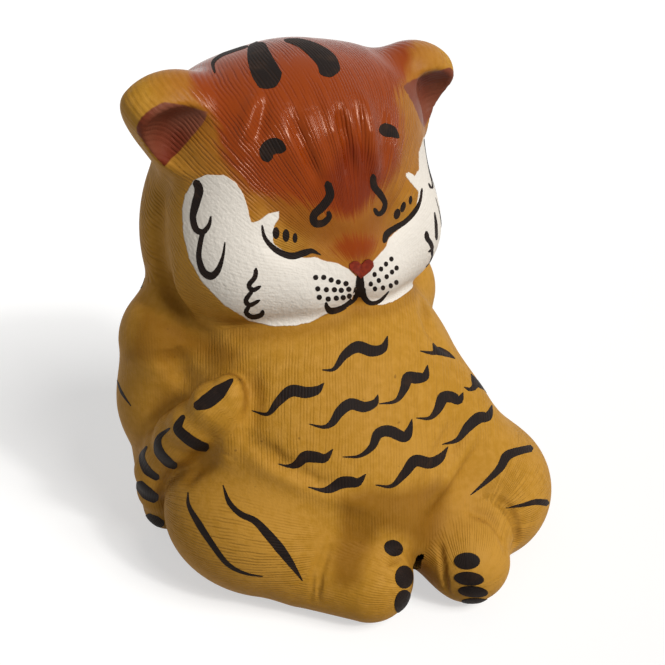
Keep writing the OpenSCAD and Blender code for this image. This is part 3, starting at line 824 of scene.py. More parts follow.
def ochre_slip(tree, place, cloud, grooves):
    """Ochre slip: lighter where it lies thick, darkened in hollows as painted shade with stain, stained in
    lines, with iron specks.
    """
    look = bpy.context.scene.tea_pet_colours
    mottle = add_node(
        tree, "ShaderNodeTexNoise", {"Vector": place, "Scale": per_metre(MOTTLE_SIZE), "Detail": 3.0})
    both = add_node(tree, "ShaderNodeMath", {0: mottle, 1: cloud}, operation="ADD")
    thick = add_node(
        tree, "ShaderNodeMapRange", {"Value": both, "From Min": 0.75, "From Max": 1.25},
        interpolation_type="SMOOTHSTEP")
    colour = add_node(
        tree, "ShaderNodeMix", {0: thick, 6: look.ochre, 7: look.ochre_light}, out=2, data_type="RGBA")
    hollow = add_node(tree, "ShaderNodeAttribute", out="Fac", attribute_name="hollow")
    # Painted shade with some stain: the ochre turns deep where the clay closes a point in
    shade_and_stain = add_node(
        tree, "ShaderNodeMapRange",
        {"Value": hollow, "From Min": 0.08, "From Max": 0.6, "To Max": HOLLOW_SHADE_AND_STAIN},
        interpolation_type="SMOOTHSTEP")
    colour = add_node(
        tree, "ShaderNodeMix", {0: shade_and_stain, 6: colour, 7: look.ochre_deep}, out=2, data_type="RGBA")
    lines = add_node(tree, "ShaderNodeMath", {0: grooves, 1: OCHRE_LINES}, operation="MULTIPLY")
    colour = add_node(
        tree, "ShaderNodeMix", {0: lines, 6: colour, 7: look.ochre_deep}, out=2, data_type="RGBA")
    spots = add_node(
        tree, "ShaderNodeTexNoise", {"Vector": place, "Scale": per_metre(SPECK_SIZE), "Detail": 1.0})
    speck = add_node(
        tree, "ShaderNodeMapRange", {"Value": spots, "From Min": 0.77, "From Max": 0.81, "To Max": SPECK_STAIN},
        interpolation_type="SMOOTHSTEP")
    return add_node(tree, "ShaderNodeMix", {0: speck, 6: colour, 7: look.speck}, out=2, data_type="RGBA")


def painted_clay():
    """Stoneware under coloured slips, combed and fired: nearly matt ochre and white, and a satin rust."""
    look = bpy.context.scene.tea_pet_colours
    material, tree = new_material("slip_painted_stoneware")
    place = add_node(tree, "ShaderNodeTexCoord", out="Object")
    cloud = add_node(
        tree, "ShaderNodeTexNoise", {"Vector": place, "Scale": per_metre(CLOUD_SIZE), "Detail": 3.0})
    grooves, stray = combed(tree, place)
    ragged = add_node(
        tree, "ShaderNodeTexNoise", {"Vector": place, "Scale": per_metre(RAGGED_SIZE), "Detail": 2.0})
    stray_edge = add_node(
        tree, "ShaderNodeMapRange", {"Value": ragged, "To Min": -RAGGED_DEPTH / 2, "To Max": RAGGED_DEPTH / 2})
    white = add_node(tree, "ShaderNodeAttribute", out="Fac", attribute_name="white")
    white = add_node(tree, "ShaderNodeMath", {0: white, 1: stray_edge}, operation="ADD")
    white_share = add_node(
        tree, "ShaderNodeMapRange", {"Value": white, "From Min": -SLIP_EDGE, "From Max": SLIP_EDGE},
        interpolation_type="SMOOTHSTEP")
    filled = add_node(tree, "ShaderNodeMapRange", {"Value": white_share, "To Min": 1.0, "To Max": WHITE_CUT})
    grooves = add_node(tree, "ShaderNodeMath", {0: grooves, 1: filled}, operation="MULTIPLY")
    rust = add_node(tree, "ShaderNodeAttribute", out="Fac", attribute_name="rust")
    rust = add_node(tree, "ShaderNodeMath", {0: stray, 1: STREAK_DEPTH, 2: rust}, operation="MULTIPLY_ADD")
    laid = add_node(
        tree, "ShaderNodeMapRange",
        {"Value": rust, "From Min": STREAK_DEPTH / 2 - RUST_SOFT, "From Max": STREAK_DEPTH / 2 + RUST_SOFT},
        interpolation_type="SMOOTHSTEP")
    wash = add_node(
        tree, "ShaderNodeMapRange",
        {"Value": rust, "From Min": STREAK_DEPTH / 2 - WASH_OUT, "From Max": STREAK_DEPTH / 2 + WASH_IN,
         "To Max": WASH_SHARE},
        interpolation_type="SMOOTHSTEP")
    rust_share = add_node(tree, "ShaderNodeMath", {0: laid, 1: wash}, operation="MAXIMUM")
    brow = add_node(tree, "ShaderNodeAttribute", out="Fac", attribute_name="deep_brow")
    brow = add_node(
        tree, "ShaderNodeMapRange", {"Value": brow, "From Max": SOFT_PATCH_EDGE, "To Max": DEEP_BROW_SHARE},
        interpolation_type="SMOOTHSTEP")
    lines = add_node(tree, "ShaderNodeMath", {0: grooves, 1: RUST_LINES, 2: brow}, operation="MULTIPLY_ADD")
    rusty = add_node(
        tree, "ShaderNodeMix", {0: lines, 6: look.rust, 7: look.rust_deep}, out=2, data_type="RGBA")
    ochre = ochre_slip(tree, place, cloud, grooves)
    # Deep ochre over soft patches: darker round the eyes, and painted shade on the shoulder and between the
    # shins
    brown = add_node(tree, "ShaderNodeAttribute", out="Fac", attribute_name="browned_and_shaded")
    brown = add_node(
        tree, "ShaderNodeMapRange", {"Value": brown, "From Max": SOFT_PATCH_EDGE, "To Max": BROWNED_AND_SHADED_SHARE},
        interpolation_type="SMOOTHSTEP")
    ochre = add_node(tree, "ShaderNodeMix", {0: brown, 6: ochre, 7: look.ochre_deep}, out=2, data_type="RGBA")
    colour = add_node(tree, "ShaderNodeMix", {0: rust_share, 6: ochre, 7: rusty}, out=2, data_type="RGBA")
    brushed = add_node(tree, "ShaderNodeMath", {0: grooves, 1: WHITE_LINES}, operation="MULTIPLY")
    pale = add_node(
        tree, "ShaderNodeMix", {0: brushed, 6: look.white, 7: look.white_deep}, out=2, data_type="RGBA")
    colour = add_node(tree, "ShaderNodeMix", {0: white_share, 6: colour, 7: pale}, out=2, data_type="RGBA")
    ear = add_node(tree, "ShaderNodeAttribute", out="Fac", attribute_name="ear")
    ear = add_node(tree, "ShaderNodeMath", {0: ear, 1: stray_edge}, operation="ADD")
    ear_share = add_node(
        tree, "ShaderNodeMapRange", {"Value": ear, "From Min": -SLIP_EDGE, "From Max": EAR_SLIP_EDGE},
        interpolation_type="SMOOTHSTEP")
    deep = add_node(
        tree, "ShaderNodeMapRange", {"Value": cloud, "From Min": 0.35, "From Max": 0.65},
        interpolation_type="SMOOTHSTEP")
    red = add_node(tree, "ShaderNodeMix", {0: deep, 6: look.ear, 7: look.ear_deep}, out=2, data_type="RGBA")
    colour = add_node(tree, "ShaderNodeMix", {0: ear_share, 6: colour, 7: red}, out=2, data_type="RGBA")
    gloss = add_node(
        tree, "ShaderNodeMapRange", {"Value": rust_share, "To Min": OCHRE_GLOSS, "To Max": RUST_GLOSS})
    sheen = add_node(
        tree, "ShaderNodeMix", {0: rust_share, 6: (1, 1, 1, 1), 7: look.rust_sheen}, out=2, data_type="RGBA")
    satin = add_node(
        tree, "ShaderNodeMapRange", {"Value": rust_share, "To Min": OCHRE_ROUGH, "To Max": RUST_ROUGH})
    rough = add_node(
        tree, "ShaderNodeMath", {0: white_share, 1: WHITE_ROUGHER, 2: satin}, operation="MULTIPLY_ADD")
    brush = add_node(
        tree, "ShaderNodeTexNoise", {"Vector": place, "Scale": per_metre(BRUSH_SIZE), "Detail": 3.0})
    bumps = add_node(tree, "ShaderNodeMath", {0: brush, 1: white_share}, operation="MULTIPLY")
    cut = add_node(tree, "ShaderNodeMapRange", {"Value": rust_share, "To Min": OCHRE_CUT, "To Max": RUST_CUT})
    cut = add_node(tree, "ShaderNodeMath", {0: cut, 1: grooves}, operation="MULTIPLY")
    relief = add_node(tree, "ShaderNodeMath", {0: bumps, 1: -BRUSH_MARKS, 2: cut}, operation="MULTIPLY_ADD")
    tooth_share = add_node(
        tree, "ShaderNodeMapRange", {"Value": rust_share, "To Min": CLAY_TOOTH, "To Max": RUST_TOOTH})
    normal = tooled(tree, place, relief, bpy.context.scene.tea_pet_clay.comb_depth, tooth_share)
    shader = add_node(
        tree, "ShaderNodeBsdfPrincipled",
        {"Base Color": colour, "Roughness": rough, "Specular IOR Level": gloss, "Specular Tint": sheen,
         "Normal": normal})
    add_node(tree, "ShaderNodeOutputMaterial", {"Surface": shader})
    return material


def black_slip():
    """Iron and manganese slip laid on with a brush: near black, brown where it is thin, nearly matt."""
    look = bpy.context.scene.tea_pet_colours
    material, tree = new_material("black_iron_slip")
    place = add_node(tree, "ShaderNodeTexCoord", out="Object")
    grooves, _ = combed(tree, place)
    brush = add_node(
        tree, "ShaderNodeTexNoise", {"Vector": place, "Scale": per_metre(THIN_SLIP_SIZE), "Detail": 3.0})
    thin = add_node(
        tree, "ShaderNodeMapRange",
        {"Value": brush, "From Min": 0.5, "From Max": 0.8, "To Max": THIN_BLACK_SHARE},
        interpolation_type="SMOOTHSTEP")
    colour = add_node(
        tree, "ShaderNodeMix", {0: thin, 6: look.black, 7: look.black_thin}, out=2, data_type="RGBA")
    lines = add_node(tree, "ShaderNodeMath", {0: grooves, 1: BLACK_LINES}, operation="MULTIPLY")
    colour = add_node(
        tree, "ShaderNodeMix", {0: lines, 6: colour, 7: look.black_thin}, out=2, data_type="RGBA")
    depth = BLACK_CUT * bpy.context.scene.tea_pet_clay.comb_depth
    normal = tooled(tree, place, grooves, depth, CLAY_TOOTH)
    shader = add_node(
        tree, "ShaderNodeBsdfPrincipled",
        {"Base Color": colour, "Roughness": BLACK_ROUGH, "Specular IOR Level": BLACK_GLOSS, "Normal": normal})
    add_node(tree, "ShaderNodeOutputMaterial", {"Surface": shader})
    return material


def red_slip():
    """Red iron slip on the nose, laid on thick: a soft sheen with brush grain."""
    look = bpy.context.scene.tea_pet_colours
    material, tree = new_material("red_iron_slip")
    place = add_node(tree, "ShaderNodeTexCoord", out="Object")
    grain = add_node(
        tree, "ShaderNodeTexNoise", {"Vector": place, "Scale": per_metre(GRIT_SIZE), "Detail": 3.0})
    share = add_node(
        tree, "ShaderNodeMapRange", {"Value": grain, "From Min": 0.3, "From Max": 0.75},
        interpolation_type="SMOOTHSTEP")
    colour = add_node(
        tree, "ShaderNodeMix", {0: share, 6: look.nose_deep, 7: look.nose}, out=2, data_type="RGBA")
    normal = add_node(tree, "ShaderNodeBump", {"Strength": 0.6, "Distance": NOSE_GRAIN * MM, "Height": grain})
    shader = add_node(
        tree, "ShaderNodeBsdfPrincipled",
        {"Base Color": colour, "Roughness": RED_ROUGH, "Specular IOR Level": RED_GLOSS, "Normal": normal})
    add_node(tree, "ShaderNodeOutputMaterial", {"Surface": shader})
    return material


def bare_clay():
    """Unglazed stoneware left bare under the foot: dry, gritty and pale."""
    look = bpy.context.scene.tea_pet_colours
    material, tree = new_material("bare_stoneware")
    place = add_node(tree, "ShaderNodeTexCoord", out="Object")
    cloud = add_node(
        tree, "ShaderNodeTexNoise", {"Vector": place, "Scale": per_metre(BARE_CLOUD_SIZE), "Detail": 4.0})
    grit = add_node(
        tree, "ShaderNodeTexNoise", {"Vector": place, "Scale": per_metre(GRIT_SIZE), "Detail": 2.0})
    share = add_node(
        tree, "ShaderNodeMapRange", {"Value": cloud, "From Min": 0.3, "From Max": 0.7},
        interpolation_type="SMOOTHSTEP")
    colour = add_node(
        tree, "ShaderNodeMix", {0: share, 6: look.bare, 7: look.bare_deep}, out=2, data_type="RGBA")
    speck = add_node(
        tree, "ShaderNodeMapRange", {"Value": grit, "From Min": 0.62, "From Max": 0.72, "To Max": GRIT_STAIN},
        interpolation_type="SMOOTHSTEP")
    colour = add_node(tree, "ShaderNodeMix", {0: speck, 6: colour, 7: look.speck}, out=2, data_type="RGBA")
    height = add_node(tree, "ShaderNodeMath", {0: grit, 1: cloud}, operation="ADD")
    normal = add_node(
        tree, "ShaderNodeBump", {"Strength": 0.7, "Distance": BARE_GRAIN * MM, "Height": height})
    shader = add_node(
        tree, "ShaderNodeBsdfPrincipled",
        {"Base Color": colour, "Roughness": BARE_ROUGH, "Specular IOR Level": BARE_GLOSS, "Normal": normal})
    add_node(tree, "ShaderNodeOutputMaterial", {"Surface": shader})
    return material


def seen_share(tree):
    """1 for what the camera sees of the background, directly, mirrored or through glass, and otherwise 0."""
    camera = add_node(tree, "ShaderNodeLightPath", out="Is Camera Ray")
    mirrored = add_node(tree, "ShaderNodeLightPath", out="Is Glossy Ray")
    through = add_node(tree, "ShaderNodeLightPath", out="Is Transmission Ray")
    seen = add_node(tree, "ShaderNodeMath", {0: camera, 1: mirrored}, operation="MAXIMUM")
    return add_node(tree, "ShaderNodeMath", {0: seen, 1: through}, operation="MAXIMUM")


def pale_table(lights):
    """A matt white paper table: it keeps the shadow, and shows white where it is fully lit."""
    material, tree = new_material("white_paper_table")
    place = add_node(tree, "ShaderNodeTexCoord", out="Object")
    colour = bpy.context.scene.tea_pet_colours.floor
    shade = [0.985 * c for c in colour[:3]] + [1.0]
    cloud = add_node(
        tree, "ShaderNodeTexNoise", {"Vector": place, "Scale": per_metre(PAPER_CLOUD_SIZE), "Detail": 2.0})
    paper = add_node(tree, "ShaderNodeMix", {0: cloud, 6: list(colour), 7: shade}, out=2, data_type="RGBA")
    matt = add_node(tree, "ShaderNodeBsdfDiffuse", {"Color": paper, "Roughness": 0.5})
    lit = lights.surround + lights.key * math.sin(math.radians(KEY_RISE))
    lit += lights.glint * math.sin(math.radians(GLINT_RISE))
    lift = add_node(
        tree, "ShaderNodeMath", {0: seen_share(tree), 1: max(0.0, 1.0 - colour[0] * lit)}, operation="MULTIPLY")
    glow = add_node(tree, "ShaderNodeEmission", {"Color": (1, 1, 1, 1), "Strength": lift})
    both = add_node(tree, "ShaderNodeAddShader", {0: matt, 1: glow})
    add_node(tree, "ShaderNodeOutputMaterial", {"Surface": both})
    return material


def new_piece(name, points, faces, normals, fields, turn_lines, material, stands_for=()):
    """A mesh piece from points in millimetres, with its outward directions and painted fields."""
    mesh = bpy.data.meshes.new(name)
    mesh.from_pydata((np.asarray(points) * MM).tolist(), [], faces)
    for key, values in fields.items():
        values = np.asarray(values, float)
        domain = "POINT"
        if key == "comb_across":
            domain = "CORNER"
            corner = np.concatenate([np.asarray(f) for f in faces])
            first = np.repeat([f[0] for f in faces], [len(f) for f in faces])
            turns = np.round((values[first] - values[corner]) / np.maximum(turn_lines[corner], 1))
            values = values[corner] + turns * turn_lines[corner]
        layer = mesh.attributes.new(key, "FLOAT", domain)
        layer.data.foreach_set("value", values.astype(np.float32))
    mesh.polygons.foreach_set("use_smooth", np.ones(len(mesh.polygons), bool))
    mesh.materials.append(material)
    mesh.normals_split_custom_set_from_vertices(np.asarray(normals).tolist())
    piece = bpy.data.objects.new(name, mesh)
    bpy.context.scene.collection.objects.link(piece)
    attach(piece, "root")
    if stands_for:
        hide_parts(*stands_for)
    return piece


# Points deep in the clay on which each piece's hidden sides meet
HEARTS = {
    "body_front": (0, -6, 26), "body_back": (0, 6, 28), "head_front": (0, -2, 70), "head_back": (0, 8, 68),
    "right_ear": (-17, 1, 81), "left_ear": (17, 1, 81), "right_arm": (-16, 7, 28), "left_arm": (16, 7, 28),
    "right_thigh": (-15, -16, 14), "left_thigh": (19, -22, 14),
    "right_paw": (-13, -28, 9), "left_paw": (15, -34, 9),
    "tail": (-21, -4, 22), "right_muzzle": (-5, -9, 57), "left_muzzle": (5, -9, 57),
}


def clay_piece(name):
    """One piece of the figure: its own part of the surface, closed on a point inside."""
    whole = figure()
    faces = whole["quads"][whole["label"] == LABELS.index(name)]
    used, local = np.unique(faces, return_inverse=True)
    local = local.reshape(faces.shape)
    points, normals = whole["points"][used], whole["normals"][used]
    edges = np.stack([local.ravel(), np.roll(local, -1, axis=1).ravel()], 1)
    paired = {tuple(e) for e in edges.tolist()}
    heart = len(points)
    sides = [[b, a, heart] for a, b in edges.tolist() if (b, a) not in paired]
    across, along, lines = combing(name, points, bpy.context.scene.tea_pet_clay.comb_spacing / MM)
    high = points[:, 2] > 45
    fields = {
        "comb_across": across, "comb_along": along, "comb_depth": comb_bite(name, points),
        "hollow": hollow_depth(points, normals),
        "rust": np.where(high & (face_at(points) < 8), rust_edge(points, normals), -RUST_LIMIT),
        "browned_and_shaded": patch_depth(points, normals, (BROWNED_FACE, SHADED_SHOULDER_PATCH, SHADED_SHINS_PATCH)),
        "deep_brow": patch_depth(points, normals, (DEEP_BROW,)),
        "white": np.where(high, white_edge(points, normals), -NEAR_LIMIT),
        "ear": np.where(ear_at(points) < 4, ear_edge(points, normals), -NEAR_LIMIT),
    }
    fields = {key: np.append(values, values[:1]) for key, values in fields.items()}
    points = np.vstack([points, HEARTS[name]])
    normals = np.vstack([normals, [0, 0, 1]])
    material = bpy.data.materials.get("slip_painted_stoneware") or painted_clay()
    turn_lines = np.full(len(points), float(lines))
    faces = local.tolist() + sides
    return new_piece("clay_" + name, points, faces, normals, fields, turn_lines, material, (name,))


# Brush strokes: points and widths in pixels of the photograph
def smooth_line(points, count):
    """Points and the share of the way at each, on a smooth curve through the given points."""
    p = np.array(points, float)
    p = np.vstack([2 * p[0] - p[1], p, 2 * p[-1] - p[-2]])
    u = np.linspace(0, len(points) - 1, count)
    i = np.minimum(u.astype(int), len(points) - 2)
    t = (u - i)[:, None]
    a, b, c, d = p[i], p[i + 1], p[i + 2], p[i + 3]
    curve = b + t * (c - a) / 2 + t * t * (a - 2.5 * b + 2 * c - d / 2) + t ** 3 * (1.5 * (b - c) + (d - a) / 2)
    return curve, u


def stroke_grid(points, widths, across=5, pace=2.2):
    """A brush stroke as a grid of places, along by across, a pace apart along."""
    length = np.sum(np.linalg.norm(np.diff(np.array(points, float), axis=0), axis=1))
    line, u = smooth_line(points, max(8, int(length / pace)))
    width = np.interp(u, np.arange(len(widths)), widths)
    ends = np.minimum(np.arange(len(line)), np.arange(len(line))[::-1]) * length / len(line)
    width = np.minimum(width, 2 * np.sqrt(np.maximum(ends, 0.07 * pace) * np.maximum(width, 0.14 * pace)))
    ahead = np.gradient(line, axis=0)
    ahead /= np.linalg.norm(ahead, axis=1, keepdims=True)
    side = np.stack([-ahead[:, 1], ahead[:, 0]], 1)
    share = np.linspace(-0.5, 0.5, across)
    return line[:, None] + share[None, :, None] * width[:, None, None] * side[:, None]


def dab_grid(middle, size, tilt=0.0, rings=6, around_count=22):
    """Pixels of a round dab as a grid of rings."""
    turn = np.linspace(0, 2 * math.pi, around_count, endpoint=False)
    share = np.linspace(0.04, 1, rings)
    x = share[:, None] * np.cos(turn) * size[0] / 2
    y = share[:, None] * np.sin(turn) * size[1] / 2
    c, s = math.cos(math.radians(tilt)), math.sin(math.radians(tilt))
    return np.stack([middle[0] + c * x - s * y, middle[1] + s * x + c * y], -1)


def round_lines(places):
    """Lines from all round the figure to its middle: distances round the back and heights, in mm."""
    turn = places[:, 0] / ROUND_RADIUS
    out = np.stack([np.sin(turn), np.cos(turn), np.zeros(len(turn))], 1)
    middle = np.stack([np.zeros(len(turn)), np.full(len(turn), 2.0), places[:, 1]], 1)
    return middle + 60 * out, -out


ROUND_RADIUS = 25.0


# Half the width of the brush that drew the cheeks' scrolls, in millimetres
BRUSH_REACH = 0.9


def brush_wide(points, columns):
    """A stroke's points drawn in to the brush's width where the clay turns away from the camera."""
    rows = points.reshape(-1, columns, 3)
    middle = rows[:, columns // 2, None]
    reach = rows - middle
    widest = np.linalg.norm(reach, axis=2).max(1)[:, None, None]
    return (middle + reach * np.minimum(1, BRUSH_REACH / np.maximum(widest, BRUSH_REACH))).reshape(-1, 3)


def slip_sheet(grid, ring, thick, lines=None, mirrored=False, on_face=False):
    """Points, faces and outward directions of a thin sheet of slip laid on the clay along lines."""
    rows, columns = grid.shape[:2]
    flat = grid.reshape(-1, 2)
    if lines is None:
        on_clay = cast_pixels(face_at if on_face else clay, flat)
    else:
        on_clay = cast(clay, *lines(flat), 0, 60)
    if mirrored:
        on_clay = on_clay * np.array([-1.0, 1.0, 1.0])
    if on_face:
        on_clay = brush_wide(on_clay, columns)
    if mirrored or on_face:
        for _ in range(3):
            on_clay = on_clay - clay(on_clay)[:, None] * slope_of(on_clay)
    normals = slope_of(on_clay)
    if ring:
        share = np.repeat(np.linspace(0, 1, rows), columns)
    else:
        share = np.abs(np.tile(np.linspace(-1, 1, columns), rows))
    top = on_clay + normals * (thick * (0.35 + 0.65 * (1 - share ** 2)))[:, None]
    bottom = on_clay - normals * 0.2
    n = len(flat)
    faces = []
    last = columns if ring else columns - 1
    for i in range(rows - 1):
        for j in range(last):
            k = (j + 1) % columns
            a, b, c, d = i * columns + j, i * columns + k, (i + 1) * columns + k, (i + 1) * columns + j
            faces.append((a, b, c, d))
            faces.append((n + d, n + c, n + b, n + a))
    if ring:
        faces.append(tuple(reversed(range(columns))))
        faces.append(tuple(n + j for j in range(columns)))
        loop = [(rows - 1) * columns + j for j in range(columns)]
    else:
        loop = list(range(columns)) + [i * columns + columns - 1 for i in range(1, rows)]
        loop += [(rows - 1) * columns + j for j in range(columns - 2, -1, -1)]
        loop += [i * columns for i in range(rows - 2, 0, -1)]
    for a, b in zip(loop, loop[1:] + loop[:1]):
        faces.append((b, a, n + a, n + b))
    a, b, c, d = faces[0]
    up = np.cross(top[b] - top[a], top[d] - top[a])
    if up @ normals[a] < 0:
        faces = [tuple(reversed(f)) for f in faces]
    return np.vstack([top, bottom]), faces, np.vstack([normals, normals])


def slip_piece(name, sheets, material, stands_for=()):
    """Several sheets of slip as one piece."""
    points, faces, normals, base = [], [], [], 0
    for p, f, n in sheets:
        points.append(p)
        normals.append(n)
        faces += [tuple(base + i for i in face) for face in f]
        base += len(p)
    points, normals = np.vstack(points), np.vstack(normals)
    label = labels_at(points)
    across, along, depth, turn_lines = np.zeros((4, len(points)))
    for k in np.unique(label):
        at = label == k
        spacing = bpy.context.scene.tea_pet_clay.comb_spacing / MM
        across[at], along[at], lines = combing(LABELS[k], points[at], spacing)
        turn_lines[at] = lines
        depth[at] = comb_bite(LABELS[k], points[at])
    fields = {"comb_across": across, "comb_along": along, "comb_depth": depth}
    return new_piece(name, points, faces, normals, fields, turn_lines, material, stands_for)


CROWN_STRIPES = (
    (((256, 41), (259, 56), (265, 71), (275, 87)), (16, 24, 28, 27)),
    (((284, 40), (300, 43), (315, 51), (327, 62), (331, 77)), (3, 9, 16, 21, 22)),
    (((248, 46), (232, 51), (220, 56), (213, 63), (215, 73)), (3, 3.5, 3.5, 4, 2)),
)
BROWS = (
    (((268, 162), (267, 151), (275, 146), (286, 150)), (10, 16, 17, 10)),
    (((379, 131), (385, 130), (392, 132), (399, 138)), (9, 14, 12, 3)),
)
NOSE_HOOKS = (
    (((327, 181), (330, 195), (323, 206), (314, 215), (315, 223), (323, 223), (329, 217), (328, 211)),
     (7, 9, 9, 8, 8, 7, 6, 4)),
    (((373, 174), (374, 186), (380, 194), (385, 203), (383, 211), (378, 214), (374, 208)),
     (6, 7, 7, 5, 5, 5, 4)),
)
EYE_LINES = (
    (((262, 225), (265, 238), (276, 250), (291, 256), (304, 253), (312, 251), (321, 255)),
     (2, 4, 6, 7, 7, 5, 1)),
    (((422, 188), (420, 201), (415, 211), (406, 221), (395, 228), (387, 234), (384, 243)),
     (2, 3, 5, 5, 6, 7, 4)),
)
LASHES = (
    ((276, 233), (7, 12), 0), ((286, 235.5), (7, 13), 0), ((295, 238), (5, 10), 0),
    ((397, 214), (6.5, 11), 15), ((403, 207), (5, 11), 15), ((410.5, 200), (3.5, 9), 5),
)
BIG_SCROLL = (
    (((195, 180), (199, 190), (196, 203), (193, 217), (196, 229), (203, 232), (209, 225), (211, 216)),
     (7, 9, 8.5, 6.5, 6.5, 6, 4, 2)),
    (((203, 231), (200, 245), (199, 258), (203, 271), (211, 276), (218, 270), (223, 256), (225, 242)),
     (5, 5, 5.5, 7, 8, 6, 3, 1.5)),
)
LEFT_CHEEK_ENDS = (
    (((424, 139), (425.5, 150), (427.5, 162), (430.5, 176), (433, 188)), (2, 3.5, 3.5, 3, 2)),
    (((428.5, 183), (430.5, 187), (433, 188)), (1.5, 2.5, 2)),
    (((434.5, 212), (436, 224), (436.5, 240)), (1.5, 3, 3)),
    (((426.5, 231), (427, 238), (430.5, 243), (432, 249), (428.5, 252)), (4, 5, 4.5, 4, 2)),
    (((431.5, 247), (432, 256), (430, 262), (426, 267)), (3, 3.5, 3, 4)),
)
SMALL_SCROLL = (
    (((256, 268), (255, 277), (249, 285), (253, 290), (261, 286)), (4, 5, 5, 5, 3)),
    (((253, 290), (246, 300), (250, 305), (260, 300)), (4, 5, 5, 3)),
    (((250, 305), (246, 312), (252, 317), (261, 315), (263, 310)), (4, 5, 5, 5, 4)),
)
MOUTH = (
    (((360, 274), (360, 284), (360, 297)), (6, 9, 8)),
    (((358, 286), (355, 297), (348, 304), (340, 309), (331, 311), (327, 307), (326, 302)),
     (7, 6, 5, 6, 7, 5, 2)),
    (((362, 286), (364, 297), (370, 303), (378, 302), (384, 297), (389, 291)), (7, 6, 5, 4, 3, 1)),
)
RIGHT_WHISKERS = (
    (315.7, 277.4), (323.7, 277.4), (331.2, 280), (338.3, 282), (346, 283.6), (317.8, 288.8), (326.4, 289.7),
    (334.4, 289.7), (341.3, 290.3), (348.8, 289.3), (319.3, 297.3), (328.2, 299), (336.3, 298.2),
    (343.2, 297.6),
    (349.4, 296.2),
)
LEFT_WHISKERS = (
    (374.6, 274.5), (381, 269), (386, 264), (391.4, 259), (370.8, 284), (378.8, 280.5), (386.7, 276.7),
    (392, 272), (396.6, 268), (375, 288.8), (383, 287.8), (390.8, 285.7), (396.4, 282.4),
)
WAVE = (1, 4, 8.5, 12, 11.5, 9, 1)
BELLY_STRIPES = (
    ((251.6, 410.6), (267.6, 414), (278, 402), (291, 391), (306, 392.5), (317, 390), (324, 383)),
    ((278, 464), (289, 466), (297, 464), (305, 457), (315, 457), (325, 458), (333, 449)),
    ((308, 487), (321, 490), (330, 489), (341, 483), (350, 482), (358, 482), (366, 474)),
    ((322, 370), (334, 369), (344.7, 355), (357.5, 347), (372, 351), (383, 348), (387.6, 336)),
    ((378.7, 404), (395.7, 401), (404, 389), (408, 378), (417, 378), (425, 376), (427.6, 365)),
    ((309, 424), (323, 427), (332, 423), (340.5, 411), (351, 404), (364, 407), (374.5, 403), (378, 394.6)),
    ((416, 418), (429.7, 418), (438, 409), (443, 398), (451, 397), (459, 400), (463, 392.5)),
    ((342.6, 457), (359.6, 456), (372, 446.7), (378, 434), (389, 431), (404, 437), (409, 431), (412, 419)),
    ((442, 444.5), (457, 440), (468, 427), (478.5, 418), (488, 416), (492, 405)),
    ((375.5, 485), (391.5, 486), (404, 474), (415, 461), (429.7, 463), (440, 458), (448, 446.7)),
)
SHORT_STRIPES = (
    (((420, 351), (432, 353), (438, 351), (447, 354), (455, 358.5)), (1, 4, 9, 6, 1)),
    (((438, 353), (435, 348), (433, 343)), (8, 5, 1)),
    (((464, 387), (470, 389.5), (475, 386), (474, 380), (471, 374)), (1, 4, 7, 6, 1)),
    (((473, 380), (480, 385), (488, 392)), (6, 6, 1)),
)
THIGH_STRIPES = (
    (((188, 492), (189, 506), (199.6, 525), (212, 544), (227, 563.5), (244, 573), (263, 576.6)),
     (1, 4, 7, 6, 5, 3, 1)),
    (((223, 485), (229, 502), (240, 513.6), (255, 521), (267.6, 534), (280, 548.6), (291, 563.5), (302.6, 581)),
     (1, 5, 6, 7, 9, 10, 7, 1)),
    (((470.5, 495), (487, 481), (500, 468), (507, 456), (519, 451), (533, 448)), (1, 5, 8, 10, 8, 7)),
    (((506, 508), (523, 505), (536, 502), (549, 503)), (1, 4, 6, 7)),
)
TAIL_BANDS = (
    (((194, 407), (206, 402), (219, 392), (233, 379)), (7, 15, 15, 3)),
    (((184, 415), (178, 428), (187, 438), (198, 445), (209, 448)), (4, 10, 11, 11, 8)),
    (((170, 428), (159, 438), (159, 451), (168, 462), (177, 467)), (2, 6, 10, 10, 6)),
    (((147, 446), (142, 457), (147, 470), (159, 479)), (2, 6, 9, 6)),
    (((137, 482), (147, 493), (158, 500)), (9, 13, 9)),
    (((146, 515), (156, 521), (164, 525)), (6, 10, 7)),
)
ARM_MARKS = (
    (((117, 380), (122, 393), (131, 406)), (1, 3, 1)),
)
RUFF_STRIPE = (
    (((139, 277), (140.5, 283), (141, 288)), (2, 4, 3)),
)
RIGHT_TOES = (((393.5, 548), (19, 16), 20), ((404, 577), (18, 23), 0), ((403, 602), (17, 25), 12))
LEFT_TOES = (
    ((467, 561), (26, 17), 0), ((469, 578.5), (30, 13.5), 5), ((473, 591.5), (30, 11), 5),
    ((475, 601), (27, 6), 0),
)
NOSE_HEART = (
    (361, 264), (357.5, 261), (353, 261), (349, 264), (349, 268), (353, 272), (357, 275), (360.5, 278),
    (365, 275),
    (370, 271), (373.5, 266), (372.5, 261), (369, 259), (365, 260),
)


